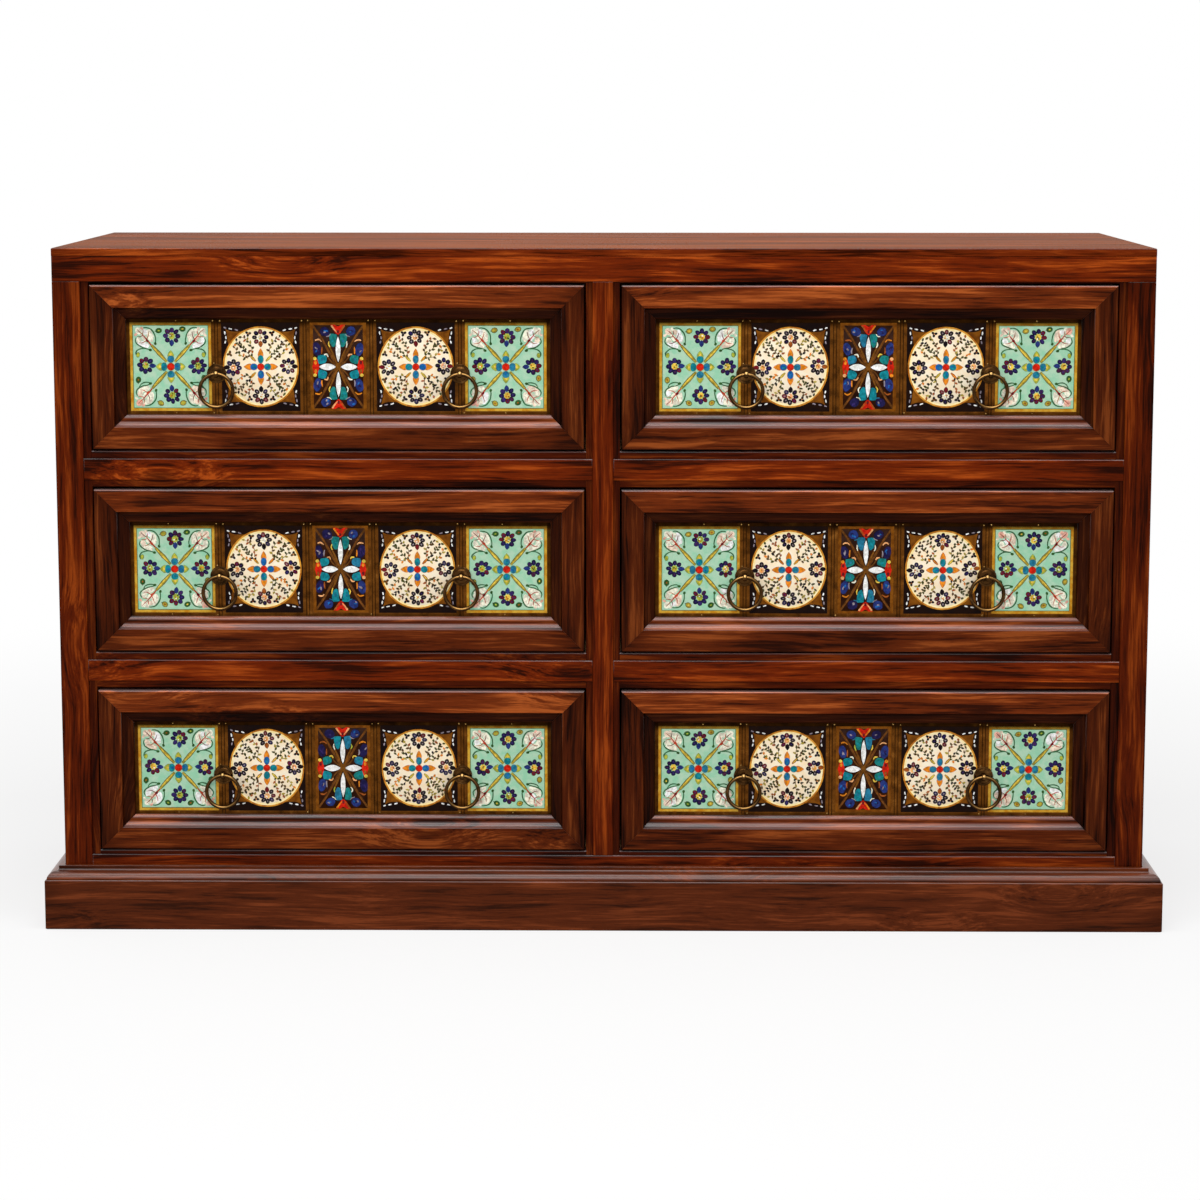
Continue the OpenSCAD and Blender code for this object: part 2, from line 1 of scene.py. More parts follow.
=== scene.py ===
import bmesh
import bpy
import json
import math
import random
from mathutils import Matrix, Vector


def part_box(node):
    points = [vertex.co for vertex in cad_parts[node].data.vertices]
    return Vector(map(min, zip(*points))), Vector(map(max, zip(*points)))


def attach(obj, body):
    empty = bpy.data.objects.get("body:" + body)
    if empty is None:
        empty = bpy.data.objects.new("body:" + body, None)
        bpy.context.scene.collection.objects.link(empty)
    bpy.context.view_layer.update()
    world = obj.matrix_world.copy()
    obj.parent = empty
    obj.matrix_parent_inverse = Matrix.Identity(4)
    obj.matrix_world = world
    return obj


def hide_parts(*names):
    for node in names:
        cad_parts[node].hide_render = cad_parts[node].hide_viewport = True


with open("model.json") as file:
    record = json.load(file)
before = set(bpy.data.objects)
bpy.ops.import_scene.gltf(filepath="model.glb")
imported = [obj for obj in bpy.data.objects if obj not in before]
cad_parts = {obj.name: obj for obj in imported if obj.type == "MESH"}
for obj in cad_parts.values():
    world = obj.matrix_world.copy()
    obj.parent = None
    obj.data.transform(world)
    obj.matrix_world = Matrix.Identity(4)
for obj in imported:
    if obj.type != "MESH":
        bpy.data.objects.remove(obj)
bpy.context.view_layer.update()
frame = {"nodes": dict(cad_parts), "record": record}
nodes = frame["nodes"]
slotOf = {part["node"]: part["material_slot"] for part in frame["record"]["subparts"]}
bodyOf = {node: body for body, members in frame["record"]["behaviour"]["bodies"].items() for node in members}
drawers = [f"{row}_{column}_drawer" for row in ("top", "middle", "bottom") for column in ("left", "right")]
mm = 0.001


# Small helpers for colours and shader nodes

def linearColour(red, green, blue):
    # Turns a colour given in steps of 255 into what a shader takes
    def channel(value):
        share = value / 255
        return share / 12.92 if share <= 0.04045 else ((share + 0.055) / 1.055) ** 2.4
    return (channel(red), channel(green), channel(blue), 1.0)


def put(tree, kind, sockets=None, **settings):
    # Adds a node, and links or sets each socket that is named or numbered
    node = tree.nodes.new(kind)
    for name, value in settings.items():
        setattr(node, name, value)
    for key, value in (sockets or {}).items():
        if isinstance(value, bpy.types.NodeSocket):
            tree.links.new(value, node.inputs[key])
        else:
            node.inputs[key].default_value = value
    return node


def maths(tree, operation, first, second=0.0):
    return put(tree, "ShaderNodeMath", {0: first, 1: second}, operation=operation).outputs[0]


def times(tree, first, second):
    return maths(tree, "MULTIPLY", first, second)


def weighed(tree, *parts):
    # The sum of several values, each with its own weight
    products = [times(tree, value, weight) for value, weight in parts]
    total = products[0]
    for product in products[1:]:
        total = maths(tree, "ADD", total, product)
    return total


def swing(tree, value, reach):
    # A pattern's value as a rise and fall about nought
    return times(tree, maths(tree, "SUBTRACT", value, 0.5), reach)


def between(tree, value, low, high, toLow=0.0, toHigh=1.0):
    # Eases from one value to the other as the input goes from low to high
    sockets = {"Value": value, "From Min": low, "From Max": high, "To Min": toLow, "To Max": toHigh}
    return put(tree, "ShaderNodeMapRange", sockets, interpolation_type="SMOOTHSTEP").outputs[0]


def vectors(tree, operation, first, second):
    return put(tree, "ShaderNodeVectorMath", {0: first, 1: second}, operation=operation).outputs[0]


def stretch(tree, vector, along, across):
    return vectors(tree, "MULTIPLY", vector, (along, across, across))


def noise(tree, vector, scale=1.0, detail=2.0, rough=0.5, output="Fac"):
    sockets = {"Vector": vector, "Scale": scale, "Detail": detail, "Roughness": rough}
    return put(tree, "ShaderNodeTexNoise", sockets).outputs[output]


def mixColours(tree, factor, first, second, blend="MIX"):
    sockets = {0: factor, 6: first, 7: second}
    return put(tree, "ShaderNodeMix", sockets, data_type="RGBA", blend_type=blend).outputs[2]


def shaded(tree, colour, shade):
    # The colour darkened or lit by one value
    grey = put(tree, "ShaderNodeCombineColor", {0: shade, 1: shade, 2: shade}).outputs[0]
    return mixColours(tree, 1.0, colour, grey, "MULTIPLY")


def split(tree, vector):
    return put(tree, "ShaderNodeSeparateXYZ", {0: vector}).outputs


def objectPlace(tree):
    return put(tree, "ShaderNodeTexCoord").outputs["Object"]


def carried(tree, label, output="Fac"):
    # What a piece carries on its own corners
    return put(tree, "ShaderNodeAttribute", attribute_name=label).outputs[output]


def seenStraight(tree):
    # One for rays that show a surface straight, in a mirror or through glass, and nought for its light
    path = put(tree, "ShaderNodeLightPath").outputs
    seen = maths(tree, "MAXIMUM", path["Is Camera Ray"], path["Is Glossy Ray"])
    return maths(tree, "MAXIMUM", seen, path["Is Transmission Ray"])


def socketKind(value):
    # The kind of a group's input follows from its first value, or is given in words
    if isinstance(value, str):
        return "NodeSocket" + value
    if isinstance(value, tuple):
        return "NodeSocketVector" if len(value) == 3 else "NodeSocketColor"
    return "NodeSocketInt" if isinstance(value, int) else "NodeSocketFloat"


def newGroup(name, inputs, kind="ShaderNodeTree"):
    tree = bpy.data.node_groups.new(name, kind)
    for label, value in inputs.items():
        socket = tree.interface.new_socket(name=label, in_out="INPUT", socket_type=socketKind(value))
        if not isinstance(value, str):
            socket.default_value = value
    return tree, put(tree, "NodeGroupInput").outputs


def closeGroup(tree, results):
    # Puts out each result, a plain value unless it is a colour or a shape
    for label in results:
        kind = label if label in ("Color", "Geometry") else "Float"
        tree.interface.new_socket(name=label, in_out="OUTPUT", socket_type="NodeSocket" + kind)
    put(tree, "NodeGroupOutput", results)
    return tree


# Shared effects

nowhere, black = (0, 0, 0), (0, 0, 0, 1)
grainNoises = {
    # Repeats in a metre along and across the board, then detail and roughness
    "streaks": (5.0, 120.0, 4.0, 0.6), "lines": (14.0, 420.0, 3.0, 0.6),
    "fibres": (70.0, 1500.0, 1.0, 0.5), "patches": (5.0, 28.0, 3.0, 0.5),
}
grainLook = {
    "drift": (3.0, 9.0), "knots": (3.2, 9.0), "knotReach": (0.34, 0.02), "swirlAcross": 0.022,
    "swirlThrough": 0.014, "streakShare": 0.42, "lineShare": 0.26, "patchShare": 0.32,
    "middleFrom": (0.4, 0.5), "lightFrom": (0.5, 0.61), "poresFrom": (0.56, 0.72), "poreDark": 0.28,
    "knotDark": (0.02, 0.12, 0.4, 1.0),
    "endSwing": 0.12, "endDark": (-0.01, 0.05, 0.66, 1.0), "sheenSwing": 0.25,
}
tarnishLook = {
    "specks": 900.0, "scratches": (2600.0, 60.0), "cloud": (4.0, 0.6), "cloudShare": 0.75, "speckShare": 0.25,
    "metalFrom": (0.36, 0.52), "rubbedFrom": (0.54, 0.68), "dulled": (0.35, 0.65, 0.12, -0.08),
    "speckHeight": 0.6, "scratchHeight": 0.4,
}
glazeLook = {
    "specks": 1100.0, "pools": (3.0, 0.55), "poolShare": 0.7, "speckShare": 0.3, "thickFrom": (0.38, 0.62),
    "dulled": (0.35, 0.65, 0.3, 0.14),
}
recessShadeLook = {
    # Painted shade of the recess: from where to where past the tiles' ends, top and foot, and how dark there
    # and beyond
    "past": (-0.5 * mm, 1.5 * mm, 1.0, 0.5), "above": (-8 * mm, 1 * mm, 1.0, 0.15),
    "below": (-2 * mm, -0.5 * mm, 0.6, 1.0),
}


def makeWoodGrain():
    # Long streaks that wander along the board, pores, fibres, a knot here and there, and darker ends
    tree, given = newGroup("woodGrain", {
        "Grain": nowhere, "Span": nowhere, "Dark": black, "Middle": black, "Light": black,
        "Wander": 0.05, "Sheen": 0.3, "Shade": 1.0,
    })
    look, grain = grainLook, given["Grain"]
    drift = noise(tree, stretch(tree, grain, *look["drift"]), output="Color")
    sideways = vectors(tree, "MULTIPLY", vectors(tree, "SUBTRACT", drift, (0.5, 0.5, 0.5)), (0, 1, 1))
    pushed = put(tree, "ShaderNodeVectorMath", {0: sideways, "Scale": given["Wander"]}, operation="SCALE")
    knot = put(tree, "ShaderNodeTexVoronoi", {"Vector": stretch(tree, grain, *look["knots"]), "Scale": 1.0})
    fromKnot = knot.outputs["Distance"]
    eye = between(tree, fromKnot, *look["knotReach"])
    swirl = put(tree, "ShaderNodeCombineXYZ", {
        1: times(tree, eye, look["swirlAcross"]), 2: times(tree, eye, look["swirlThrough"])})
    moved = vectors(tree, "ADD", vectors(tree, "ADD", grain, pushed.outputs[0]), swirl.outputs[0])
    streaks, lines, fibres, patches = (
        noise(tree, stretch(tree, moved, along, across), detail=detail, rough=rough)
        for along, across, detail, rough in grainNoises.values())
    tone = weighed(
        tree, (streaks, look["streakShare"]), (lines, look["lineShare"]), (patches, look["patchShare"]))
    colour = mixColours(tree, between(tree, tone, *look["middleFrom"]), given["Dark"], given["Middle"])
    colour = mixColours(tree, between(tree, tone, *look["lightFrom"]), colour, given["Light"])
    pores = between(tree, fibres, *look["poresFrom"])
    shade = maths(tree, "SUBTRACT", 1.0, times(tree, pores, look["poreDark"]))
    shade = times(tree, shade, between(tree, fromKnot, *look["knotDark"]))
    # Span holds the place from the board's middle, half its length, and its own tone with painted light and
    # shade
    along, half, tone = split(tree, given["Span"])
    fromEnd = maths(tree, "SUBTRACT", half, maths(tree, "ABSOLUTE", along))
    stained = maths(tree, "ADD", fromEnd, swing(tree, patches, look["endSwing"]))
    shade = times(tree, shade, between(tree, stained, *look["endDark"]))
    shade = times(tree, times(tree, shade, tone), given["Shade"])
    return closeGroup(tree, {
        "Color": shaded(tree, colour, shade),
        "Roughness": maths(tree, "ADD", given["Sheen"], swing(tree, lines, look["sheenSwing"])),
        "Height": weighed(tree, (lines, 0.5), (pores, -0.5)),
    })


def makeTarnish():
    # Dull, dark and rubbed places on old metal, with fine scratches
    tree, given = newGroup("tarnish", {
        "Place": nowhere, "Dark": black, "Metal": black, "Rubbed": black, "Patch": 60.0, "Dullness": 0.35})
    look, place = tarnishLook, given["Place"]
    specks = noise(tree, place, look["specks"])
    scratches = noise(tree, stretch(tree, place, *look["scratches"]), detail=1.0)
    cloud = noise(tree, place, given["Patch"], *look["cloud"])
    amount = weighed(tree, (cloud, look["cloudShare"]), (specks, look["speckShare"]))
    colour = mixColours(tree, between(tree, amount, *look["metalFrom"]), given["Dark"], given["Metal"])
    return closeGroup(tree, {
        "Color": mixColours(tree, between(tree, amount, *look["rubbedFrom"]), colour, given["Rubbed"]),
        "Roughness": maths(tree, "ADD", given["Dullness"], between(tree, amount, *look["dulled"])),
        "Height": weighed(tree, (specks, look["speckHeight"]), (scratches, look["scratchHeight"])),
    })


def makeGlaze():
    # Glaze that pools and thins, with fine specks
    tree, given = newGroup("glaze", {"Place": nowhere, "Thin": black, "Thick": black, "Pool": 45.0})
    look, place = glazeLook, given["Place"]
    pools, specks = noise(tree, place, given["Pool"], *look["pools"]), noise(tree, place, look["specks"])
    amount = weighed(tree, (pools, look["poolShare"]), (specks, look["speckShare"]))
    return closeGroup(tree, {
        "Color": mixColours(tree, between(tree, amount, *look["thickFrom"]), given["Thin"], given["Thick"]),
        "Roughness": between(tree, amount, *look["dulled"]),
        "Height": pools,
    })


def makeRecessShade():
    # Painted shade under the moulding round each row of tiles, darkest along its top, and darker past its
    # ends and below its foot
    tree, given = newGroup("paintedRecessShade", {
        "Place": nowhere, "Home": nowhere, "Half Length": 0.28, "Half Height": 0.059})
    look, offset = recessShadeLook, split(tree, vectors(tree, "SUBTRACT", given["Place"], given["Home"]))
    past = maths(tree, "SUBTRACT", maths(tree, "ABSOLUTE", offset[0]), given["Half Length"])
    above = maths(tree, "SUBTRACT", offset[2], given["Half Height"])
    below = maths(tree, "ADD", offset[2], given["Half Height"])
    shade = times(tree, between(tree, past, *look["past"]), between(tree, above, *look["above"]))
    return closeGroup(tree, {"Shade": times(tree, shade, between(tree, below, *look["below"]))})


woodGrain, tarnish, glaze, paintedRecessShade = makeWoodGrain(), makeTarnish(), makeGlaze(), makeRecessShade()
print("shader groups made")


# Finishes

def newMaterial(name, constants):
    material = bpy.data.materials.new(name)
    material.use_nodes = True
    shader = material.node_tree.nodes["Principled BSDF"]
    for label, value in constants.items():
        shader.inputs[label].default_value = value
    return material, material.node_tree, shader


def putGroup(tree, group, looks):
    # A group's node, whose colours are given in steps of 255
    sockets = {
        label: linearColour(*look) if isinstance(look, tuple) else look for label, look in looks.items()}
    return put(tree, "ShaderNodeGroup", sockets, node_tree=group)


def closeMaterial(tree, shader, colour, pattern, bump, depth):
    # The colour, with the pattern's own roughness and relief
    relief = put(tree, "ShaderNodeBump", {
        "Strength": bump, "Distance": depth, "Height": pattern.outputs["Height"]})
    tree.links.new(colour, shader.inputs["Base Color"])
    tree.links.new(pattern.outputs["Roughness"], shader.inputs["Roughness"])
    tree.links.new(relief.outputs[0], shader.inputs["Normal"])


oldWood = {
    # How far a face turns upwards before it takes the painted sheen, is painted lighter and polished, takes
    # the painted highlight or counts as level, and what each of these does
    "coatBend": 1.6, "coatRough": 0.28, "bump": 0.25, "depth": 0.4 * mm, "paintedSheenFrom": (0.8, 0.99),
    "paintedSheenShare": 0.6, "bands": (1.6, 17.0), "bandDetail": 3.0, "bandShade": (0.34, 0.66, 0.7, 1.26),
    "rubbedFrom": (0.05, 0.45), "levelFrom": (0.92, 0.995), "paintedHighlightFrom": (0.05, 0.9),
    "paintedHighlight": (188, 188, 192), "mouldingShade": 0.2,
}


def paintedTopSheen(tree, colour, upward, grain, paintedSheenColour):
    # Painted sheen: a level top is painted paler, standing in for its sheen seen at a low angle, more on some
    # of its bands than on others
    bands = noise(tree, stretch(tree, grain, *oldWood["bands"]), detail=oldWood["bandDetail"])
    pale = mixColours(tree, oldWood["paintedSheenShare"], colour, linearColour(*paintedSheenColour))
    pale = shaded(tree, pale, between(tree, bands, *oldWood["bandShade"]))
    return mixColours(tree, between(tree, upward, *oldWood["paintedSheenFrom"]), colour, pale)


def polishAndPaintedLight(tree, shader, upward, wax, flatWax, paintedUpLight, paintedShadeDepth):
    # Mouldings and edges that face upwards carry a build-up of polish, and are painted lighter, as painted
    # light from above
    worn = between(tree, upward, *oldWood["levelFrom"], 1.0, flatWax)
    built = times(tree, between(tree, upward, *oldWood["rubbedFrom"], 0.0, wax), worn)
    tree.links.new(built, shader.inputs["Coat Weight"])
    rubbed = between(tree, upward, *oldWood["rubbedFrom"], 1.0, paintedUpLight)
    if paintedShadeDepth:
        # Painted shade in the moulding behind the flat of a drawer front, darkest under its top piece
        depth = split(tree, objectPlace(tree))[1]
        mouldingShade = times(tree, between(tree, depth, *paintedShadeDepth), carried(tree, "mouldingShadeShare"))
        rubbed = times(tree, rubbed, between(tree, mouldingShade, 0.0, 1.0, 1.0, oldWood["mouldingShade"]))
    return rubbed


def woodFinish(name, dark, middle, light, wander, sheen, shine,
               wax=0.0, flatWax=1.0, paintedUpLight=1.0, paintedShadeDepth=None, paintedSheenColour=None, paintedHighlight=0.0):
    material, tree, shader = newMaterial(name, {
        "Specular IOR Level": shine, "Coat IOR": oldWood["coatBend"], "Coat Roughness": oldWood["coatRough"]})
    grain, upward = carried(tree, "grain", "Vector"), carried(tree, "upward")
    board = putGroup(tree, woodGrain, {
        "Grain": grain, "Span": carried(tree, "span", "Vector"), "Dark": dark, "Middle": middle,
        "Light": light, "Wander": wander, "Sheen": sheen})
    colour = board.outputs["Color"]
    if paintedSheenColour:
        colour = paintedTopSheen(tree, colour, upward, grain, paintedSheenColour)
    if paintedHighlight:
        # Painted highlight: edges that face upwards are mixed towards a pale grey
        paintedHighlightShare = between(tree, upward, *oldWood["paintedHighlightFrom"], 0.0, paintedHighlight)
        colour = mixColours(tree, paintedHighlightShare, colour, linearColour(*oldWood["paintedHighlight"]))
    if wax:
        tree.links.new(polishAndPaintedLight(tree, shader, upward, wax, flatWax, paintedUpLight, paintedShadeDepth), board.inputs["Shade"])
    closeMaterial(tree, shader, colour, board, oldWood["bump"], oldWood["depth"])
    return material


def withRecessShade(tree, colour):
    # Painted shade: darkens what lies round the tiles, by its place from the middle of its own drawer
    low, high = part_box(drawers[0] + "_tiles")
    dark = putGroup(tree, paintedRecessShade, {
        "Place": objectPlace(tree), "Home": carried(tree, "home", "Vector"),
        "Half Length": (high.x - low.x) / 2, "Half Height": (high.z - low.z) / 2})
    return shaded(tree, colour, dark.outputs["Shade"])


def patternFinish(name, constants, group, looks, bump, depth, crest=None, recessed=False):
    material, tree, shader = newMaterial(name, constants)
    pattern = putGroup(tree, group, {"Place": objectPlace(tree), **looks})
    colour = pattern.outputs["Color"]
    if crest:
        # Painted highlight: the metal is painted bright where it faces up and forward, standing in for a
        # lamp's reflection
        colour = mixColours(
            tree, between(tree, carried(tree, "outward"), 0.89, 0.985), colour, linearColour(*crest))
    if recessed:
        colour = withRecessShade(tree, colour)
    closeMaterial(tree, shader, colour, pattern, bump, depth)
    return material


def metalFinish(name, dark, metal, rubbed, patch, dullness, bump, **more):
    looks = {"Dark": dark, "Metal": metal, "Rubbed": rubbed, "Patch": patch, "Dullness": dullness}
    return patternFinish(name, {"Metallic": 1.0}, tarnish, looks, bump, 0.2 * mm, **more)


def glazeFinish(name, thin, thick, pool, recessed=False):
    looks = {"Thin": thin, "Thick": thick, "Pool": pool}
    return patternFinish(name, {"Specular IOR Level": 0.03}, glaze, looks, 0.3, 0.6 * mm, recessed=recessed)


def enamelFinish(name, colour):
    # Small painted strokes of one enamel, thinner and paler in places, thicker and darker in others
    thin = tuple(min(255, channel * 1.1 + 6) for channel in colour)
    thick = tuple(channel * 0.86 for channel in colour)
    return glazeFinish("enamel_" + name, thin, thick, 260.0)


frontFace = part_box(drawers[0] + "_frame")[0].y
mouldingDepth = (frontFace + 0.4 * mm, frontFace + 3.5 * mm)
gapDepth = frontFace + 60 * mm
woods = {
    # Dark, middle and light colours, then how far the grain wanders, its sheen and its shine
    "carcass_wood": woodFinish(
        "carcassWood", (44, 10, 1), (103, 32, 3), (165, 71, 18), 0.02, 0.34, 0.03, wax=0.8, paintedHighlight=0.1),
    "front_wood": woodFinish(
        "frontWood", (44, 13, 3), (98, 38, 10), (157, 77, 31), 0.02, 0.34, 0.03,
        wax=0.8, paintedUpLight=1.7, paintedShadeDepth=mouldingDepth, paintedHighlight=0.13),
    "plinth_wood": woodFinish(
        "plinthWood", (50, 21, 9), (84, 36, 15), (118, 56, 27), 0.03, 0.36, 0.03, wax=0.8, paintedUpLight=1.2),
    "top_wood": woodFinish(
        "topWood", (44, 11, 1), (104, 36, 7), (160, 72, 22), 0.02, 0.45, 0.012,
        wax=0.8, flatWax=0.0, paintedSheenColour=(133, 71, 25)),
    "inner_wood": woodFinish("innerWood", (150, 104, 64), (190, 142, 94), (214, 172, 124), 0.04, 0.6, 0.2),
    "back_wood": woodFinish("backWood", (88, 52, 30), (128, 82, 50), (158, 108, 70), 0.05, 0.6, 0.2),
}
# Dark, metal and rubbed colours, then how fine the patches are, how dull the metal is and its relief
brassSheet = metalFinish(
    "brassSheet", (70, 40, 12), (100, 58, 18), (134, 84, 32), 70.0, 0.45, 0.25, recessed=True)
brassGroove = metalFinish("brassGroove", (20, 11, 4), (38, 22, 8), (58, 36, 14), 90.0, 0.6, 0.2)
brassNail = metalFinish("brassNail", (112, 80, 40), (160, 124, 68), (206, 172, 114), 500.0, 0.25, 0.1)
# The last colour of the pulls and rings is a painted highlight
pullBrass = metalFinish(
    "pullBrass", (36, 22, 9), (70, 45, 20), (108, 74, 38), 110.0, 0.2, 0.12, crest=(190, 150, 92))
ringBrass = metalFinish(
    "ringBrass", (34, 21, 10), (64, 41, 19), (96, 66, 35), 110.0, 0.18, 0.1, crest=(146, 110, 62))
glazes = {name: glazeFinish(name + "Glaze", *look) for name, look in {
    # Colours where the glaze is thin and thick, how fine its pools are, and whether it takes the painted
    # shade of the recess
    "mint": ((148, 203, 169), (177, 209, 181), 90.0), "cream": ((252, 228, 190), (250, 238, 214), 110.0),
    "lemon": ((250, 224, 146), (254, 240, 190), 90.0), "night": ((30, 14, 7), (20, 10, 10), 60.0),
    "umber": ((100, 53, 8), (130, 76, 16), 120.0), "gold": ((184, 122, 24), (210, 166, 60), 110.0, True),
    "maroon": ((34, 13, 4), (56, 26, 9), 80.0), "amber": ((168, 94, 18), (222, 154, 52), 130.0),
}.items()}
enamels = {name: enamelFinish(name, colour) for name, colour in {
    "ink": (22, 14, 18), "navy": (28, 24, 66), "indigo": (47, 35, 90), "purple": (66, 30, 58),
    "maroon": (104, 22, 28), "red": (196, 30, 12), "vein": (172, 62, 38), "blue": (34, 110, 140),
    "royal": (24, 92, 160), "cobalt": (34, 48, 108), "teal": (18, 122, 134), "sea": (24, 114, 110),
    "yellow": (218, 184, 70), "lime": (162, 168, 58), "olive": (160, 142, 50), "moss": (62, 62, 22),
    "green": (40, 84, 36), "line": (52, 96, 60), "shell": (232, 224, 202), "pink": (224, 168, 148),
    "orange": (214, 124, 28), "rust": (150, 76, 26), "brown": (92, 54, 18), "white": (246, 244, 236),
    "lilac": (138, 126, 134), "peach": (226, 160, 104), "earth": (80, 56, 26), "bronze": (110, 66, 18),
    "grey": (112, 100, 104), "blush": (232, 206, 184),
}.items()}
print("finishes made")


# Pieces made from the frame's own solids

copySizes = {"apart": 0.01 * mm, "flatAngle": 0.5}


def newObject(name, data):
    added = bpy.data.objects.new(name, data)
    bpy.context.scene.collection.objects.link(added)
    return added


def finishPiece(mesh, node=None, body=None):
    piece = newObject(mesh.name, mesh)
    if node:
        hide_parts(node)
    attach(piece, body or bodyOf[node])
    return piece


def weldedCopy(node):
    # The node's solid as one closed mesh with whole flat faces
    shape = bmesh.new()
    shape.from_mesh(nodes[node].data)
    flat = math.radians(copySizes["flatAngle"])
    bmesh.ops.remove_doubles(shape, verts=shape.verts, dist=copySizes["apart"])
    bmesh.ops.dissolve_limit(shape, angle_limit=flat, verts=shape.verts, edges=shape.edges)
    return shape


def islands(shape):
    # The separate boards of a node, as lists of vertices
    seen, found = set(), []
    for start in shape.verts:
        if start in seen:
            continue
        seen.add(start)
        board, waiting = [], [start]
        while waiting:
            vertex = waiting.pop()
            board.append(vertex)
            for edge in vertex.link_edges:
                other = edge.other_vert(vertex)
                if other not in seen:
                    seen.add(other)
                    waiting.append(other)
        found.append(board)
    return found


def smoothed(shape, name, angle, *materials):
    # Round stretches smooth, corners crisp, and flat faces left flat
    for face in shape.faces:
        face.smooth = True
    for edge in shape.edges:
        edge.smooth = edge.is_manifold and edge.calc_face_angle(0.0) < math.radians(angle)
    mesh = bpy.data.meshes.new(name)
    shape.to_mesh(mesh)
    shape.free()
    for material in materials:
        mesh.materials.append(material)
    return mesh


boardSizes = {
    "edgeRound": 0.6 * mm, "cornerRound": 2.6 * mm, "frameRound": 1.6 * mm, "lipRound": 2.2 * mm,
    "roundSteps": 3, "leastEdge": 12 * mm, "cornerAngle": 70, "smoothAngle": 50, "touch": 0.1 * mm,
    "frontReach": 1 * mm, "jointTouch": 0.3 * mm, "jointReach": 1.5 * mm, "grainShift": 90, "endTurn": 0.9,
    "lipped": ["top_front_rail", "bottom_front_rail", "mid_rails", "centre_stile", "front_posts"],
}
# Tones of the boards: the frame tones are painted light from above, the lip, gap and side moulding tones are
# painted shade, and the joint tone is a dark joint
boardTonesWithPaintedLight = {
    "upright": 0.66, "stile": 0.76, "rightPost": 0.57, "bottomRail": 0.86, "frameTopPaintedLight": 1.12,
    "frameBottomPaintedShade": 0.76, "frameSidePaintedShade": 0.49, "lip": 0.5, "joint": 0.45, "gap": 0.12, "sideMouldingShade": 0.62,
}
gapShadeSizes = {
    # How far past the gap the painted shade reaches above, beside and below it, and how deep
    "lip": (1.2 * mm, 0.5 * mm, 0.0), "lipDepth": gapDepth,
    "frame": (0.0, 0.3 * mm, 1.0 * mm), "frameDepth": frontFace + 4 * mm,
    "touch": 0.02 * mm, "behindLip": (1 * mm, 6 * mm),
}
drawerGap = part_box(drawers[0] + "_frame")[0].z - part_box("mid_rails")[1].z
fronts = [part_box(drawer + "_frame") for drawer in drawers]
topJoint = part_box("top_board")[0].z


def boardToneWithPaintedLight(node, along, offset):
    # Uprights are darker than rails, and each drawer front is painted lighter on its top piece and darker on
    # its bottom and sides, as painted light from above
    if node.endswith("_frame"):
        if along == 2:
            return boardTonesWithPaintedLight["frameSidePaintedShade"]
        return boardTonesWithPaintedLight["frameTopPaintedLight"] if offset.z > 0 else boardTonesWithPaintedLight["frameBottomPaintedShade"]
    if node == "bottom_front_rail":
        return boardTonesWithPaintedLight["bottomRail"]
    if node == "centre_stile":
        return boardTonesWithPaintedLight["stile"]
    if node == "front_posts" and offset.x > 0:
        return boardTonesWithPaintedLight["rightPost"]
    return boardTonesWithPaintedLight["upright"] if along == 2 and slotOf[node] == "carcass_wood" else 1.0


def besideGap(place, above=0.0, beside=0.0, below=0.0):
    # Whether a point lies on the edge of a drawer front or of the opening round it, or that near to it
    touch = gapShadeSizes["touch"]
    for low, high in fronts:
        left, right = place.x - low.x, high.x - place.x
        under, over = place.z - low.z, high.z - place.z
        if min(left, right, under, over) > -touch:
            if over < touch or under < touch + below or min(left, right) < touch + beside:
                return True
        left, right, under, over = (side + drawerGap for side in (left, right, under, over))
        if min(left, right, under) > -touch - beside and -touch - above < over < touch:
            return True
        if min(left, right, over) > -touch - beside and abs(under) < touch:
            return True
        if min(under, over) > -touch and -touch - beside < min(left, right) < touch:
            return True
    return False


def bothEnds(edge, test):
    return all(test(vertex.co) for vertex in edge.verts)


def atJoint(place):
    return abs(place.z - topJoint) < boardSizes["jointTouch"]


def slanted(edge):
    across = edge.verts[0].co - edge.verts[1].co
    return abs(across.x) > mm and abs(across.z) > mm


def eased(shape, size, wanted):
    # Rounds those of the outer edges that are wanted
    edges = [
        edge for edge in shape.edges
        if edge.is_manifold and edge.calc_length() > boardSizes["leastEdge"]
        and edge.calc_face_angle_signed(0.0) > math.radians(boardSizes["cornerAngle"]) and wanted(edge)
    ]
    bmesh.ops.bevel(
        shape, geom=edges, offset=boardSizes[size], offset_type="OFFSET",
        segments=boardSizes["roundSteps"], profile=0.5, affect="EDGES", clamp_overlap=False,
    )


def easeBoards(shape, node):
    # Wear, from the roundest edges to the sharpest
    low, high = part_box(node)
    touch = boardSizes["touch"]

    def atFront(edge):
        return not bothEnds(edge, atJoint) and bothEnds(
            edge, lambda place: place.y < low.y + boardSizes["frontReach"])

    def onRim(edge):
        return bothEnds(edge, lambda place: place.y < low.y + touch) and any(
            bothEnds(edge, lambda place: abs(place[axis] - side[axis]) < touch)
            for axis in (0, 2) for side in (low, high))

    if node == "top_front_rail":
        # The rail under the top is worn round at the front, though not where the top board meets it
        eased(shape, "cornerRound", atFront)
    if node.endswith("_frame"):
        eased(shape, "frameRound", onRim)
    else:
        lips = [vertex.co.y for vertex in shape.verts if vertex.co.y < gapDepth and besideGap(vertex.co)]
        if lips:
            # The lips round each opening are softened towards the gap
            lip = min(lips) + touch
            eased(shape, "lipRound", lambda edge: bothEnds(
                edge, lambda place: place.y < lip and besideGap(place)))
    # Mitres and the joint under the top stay sharp, so that they close
    eased(shape, "edgeRound", lambda edge: not slanted(edge) and not bothEnds(edge, atJoint))


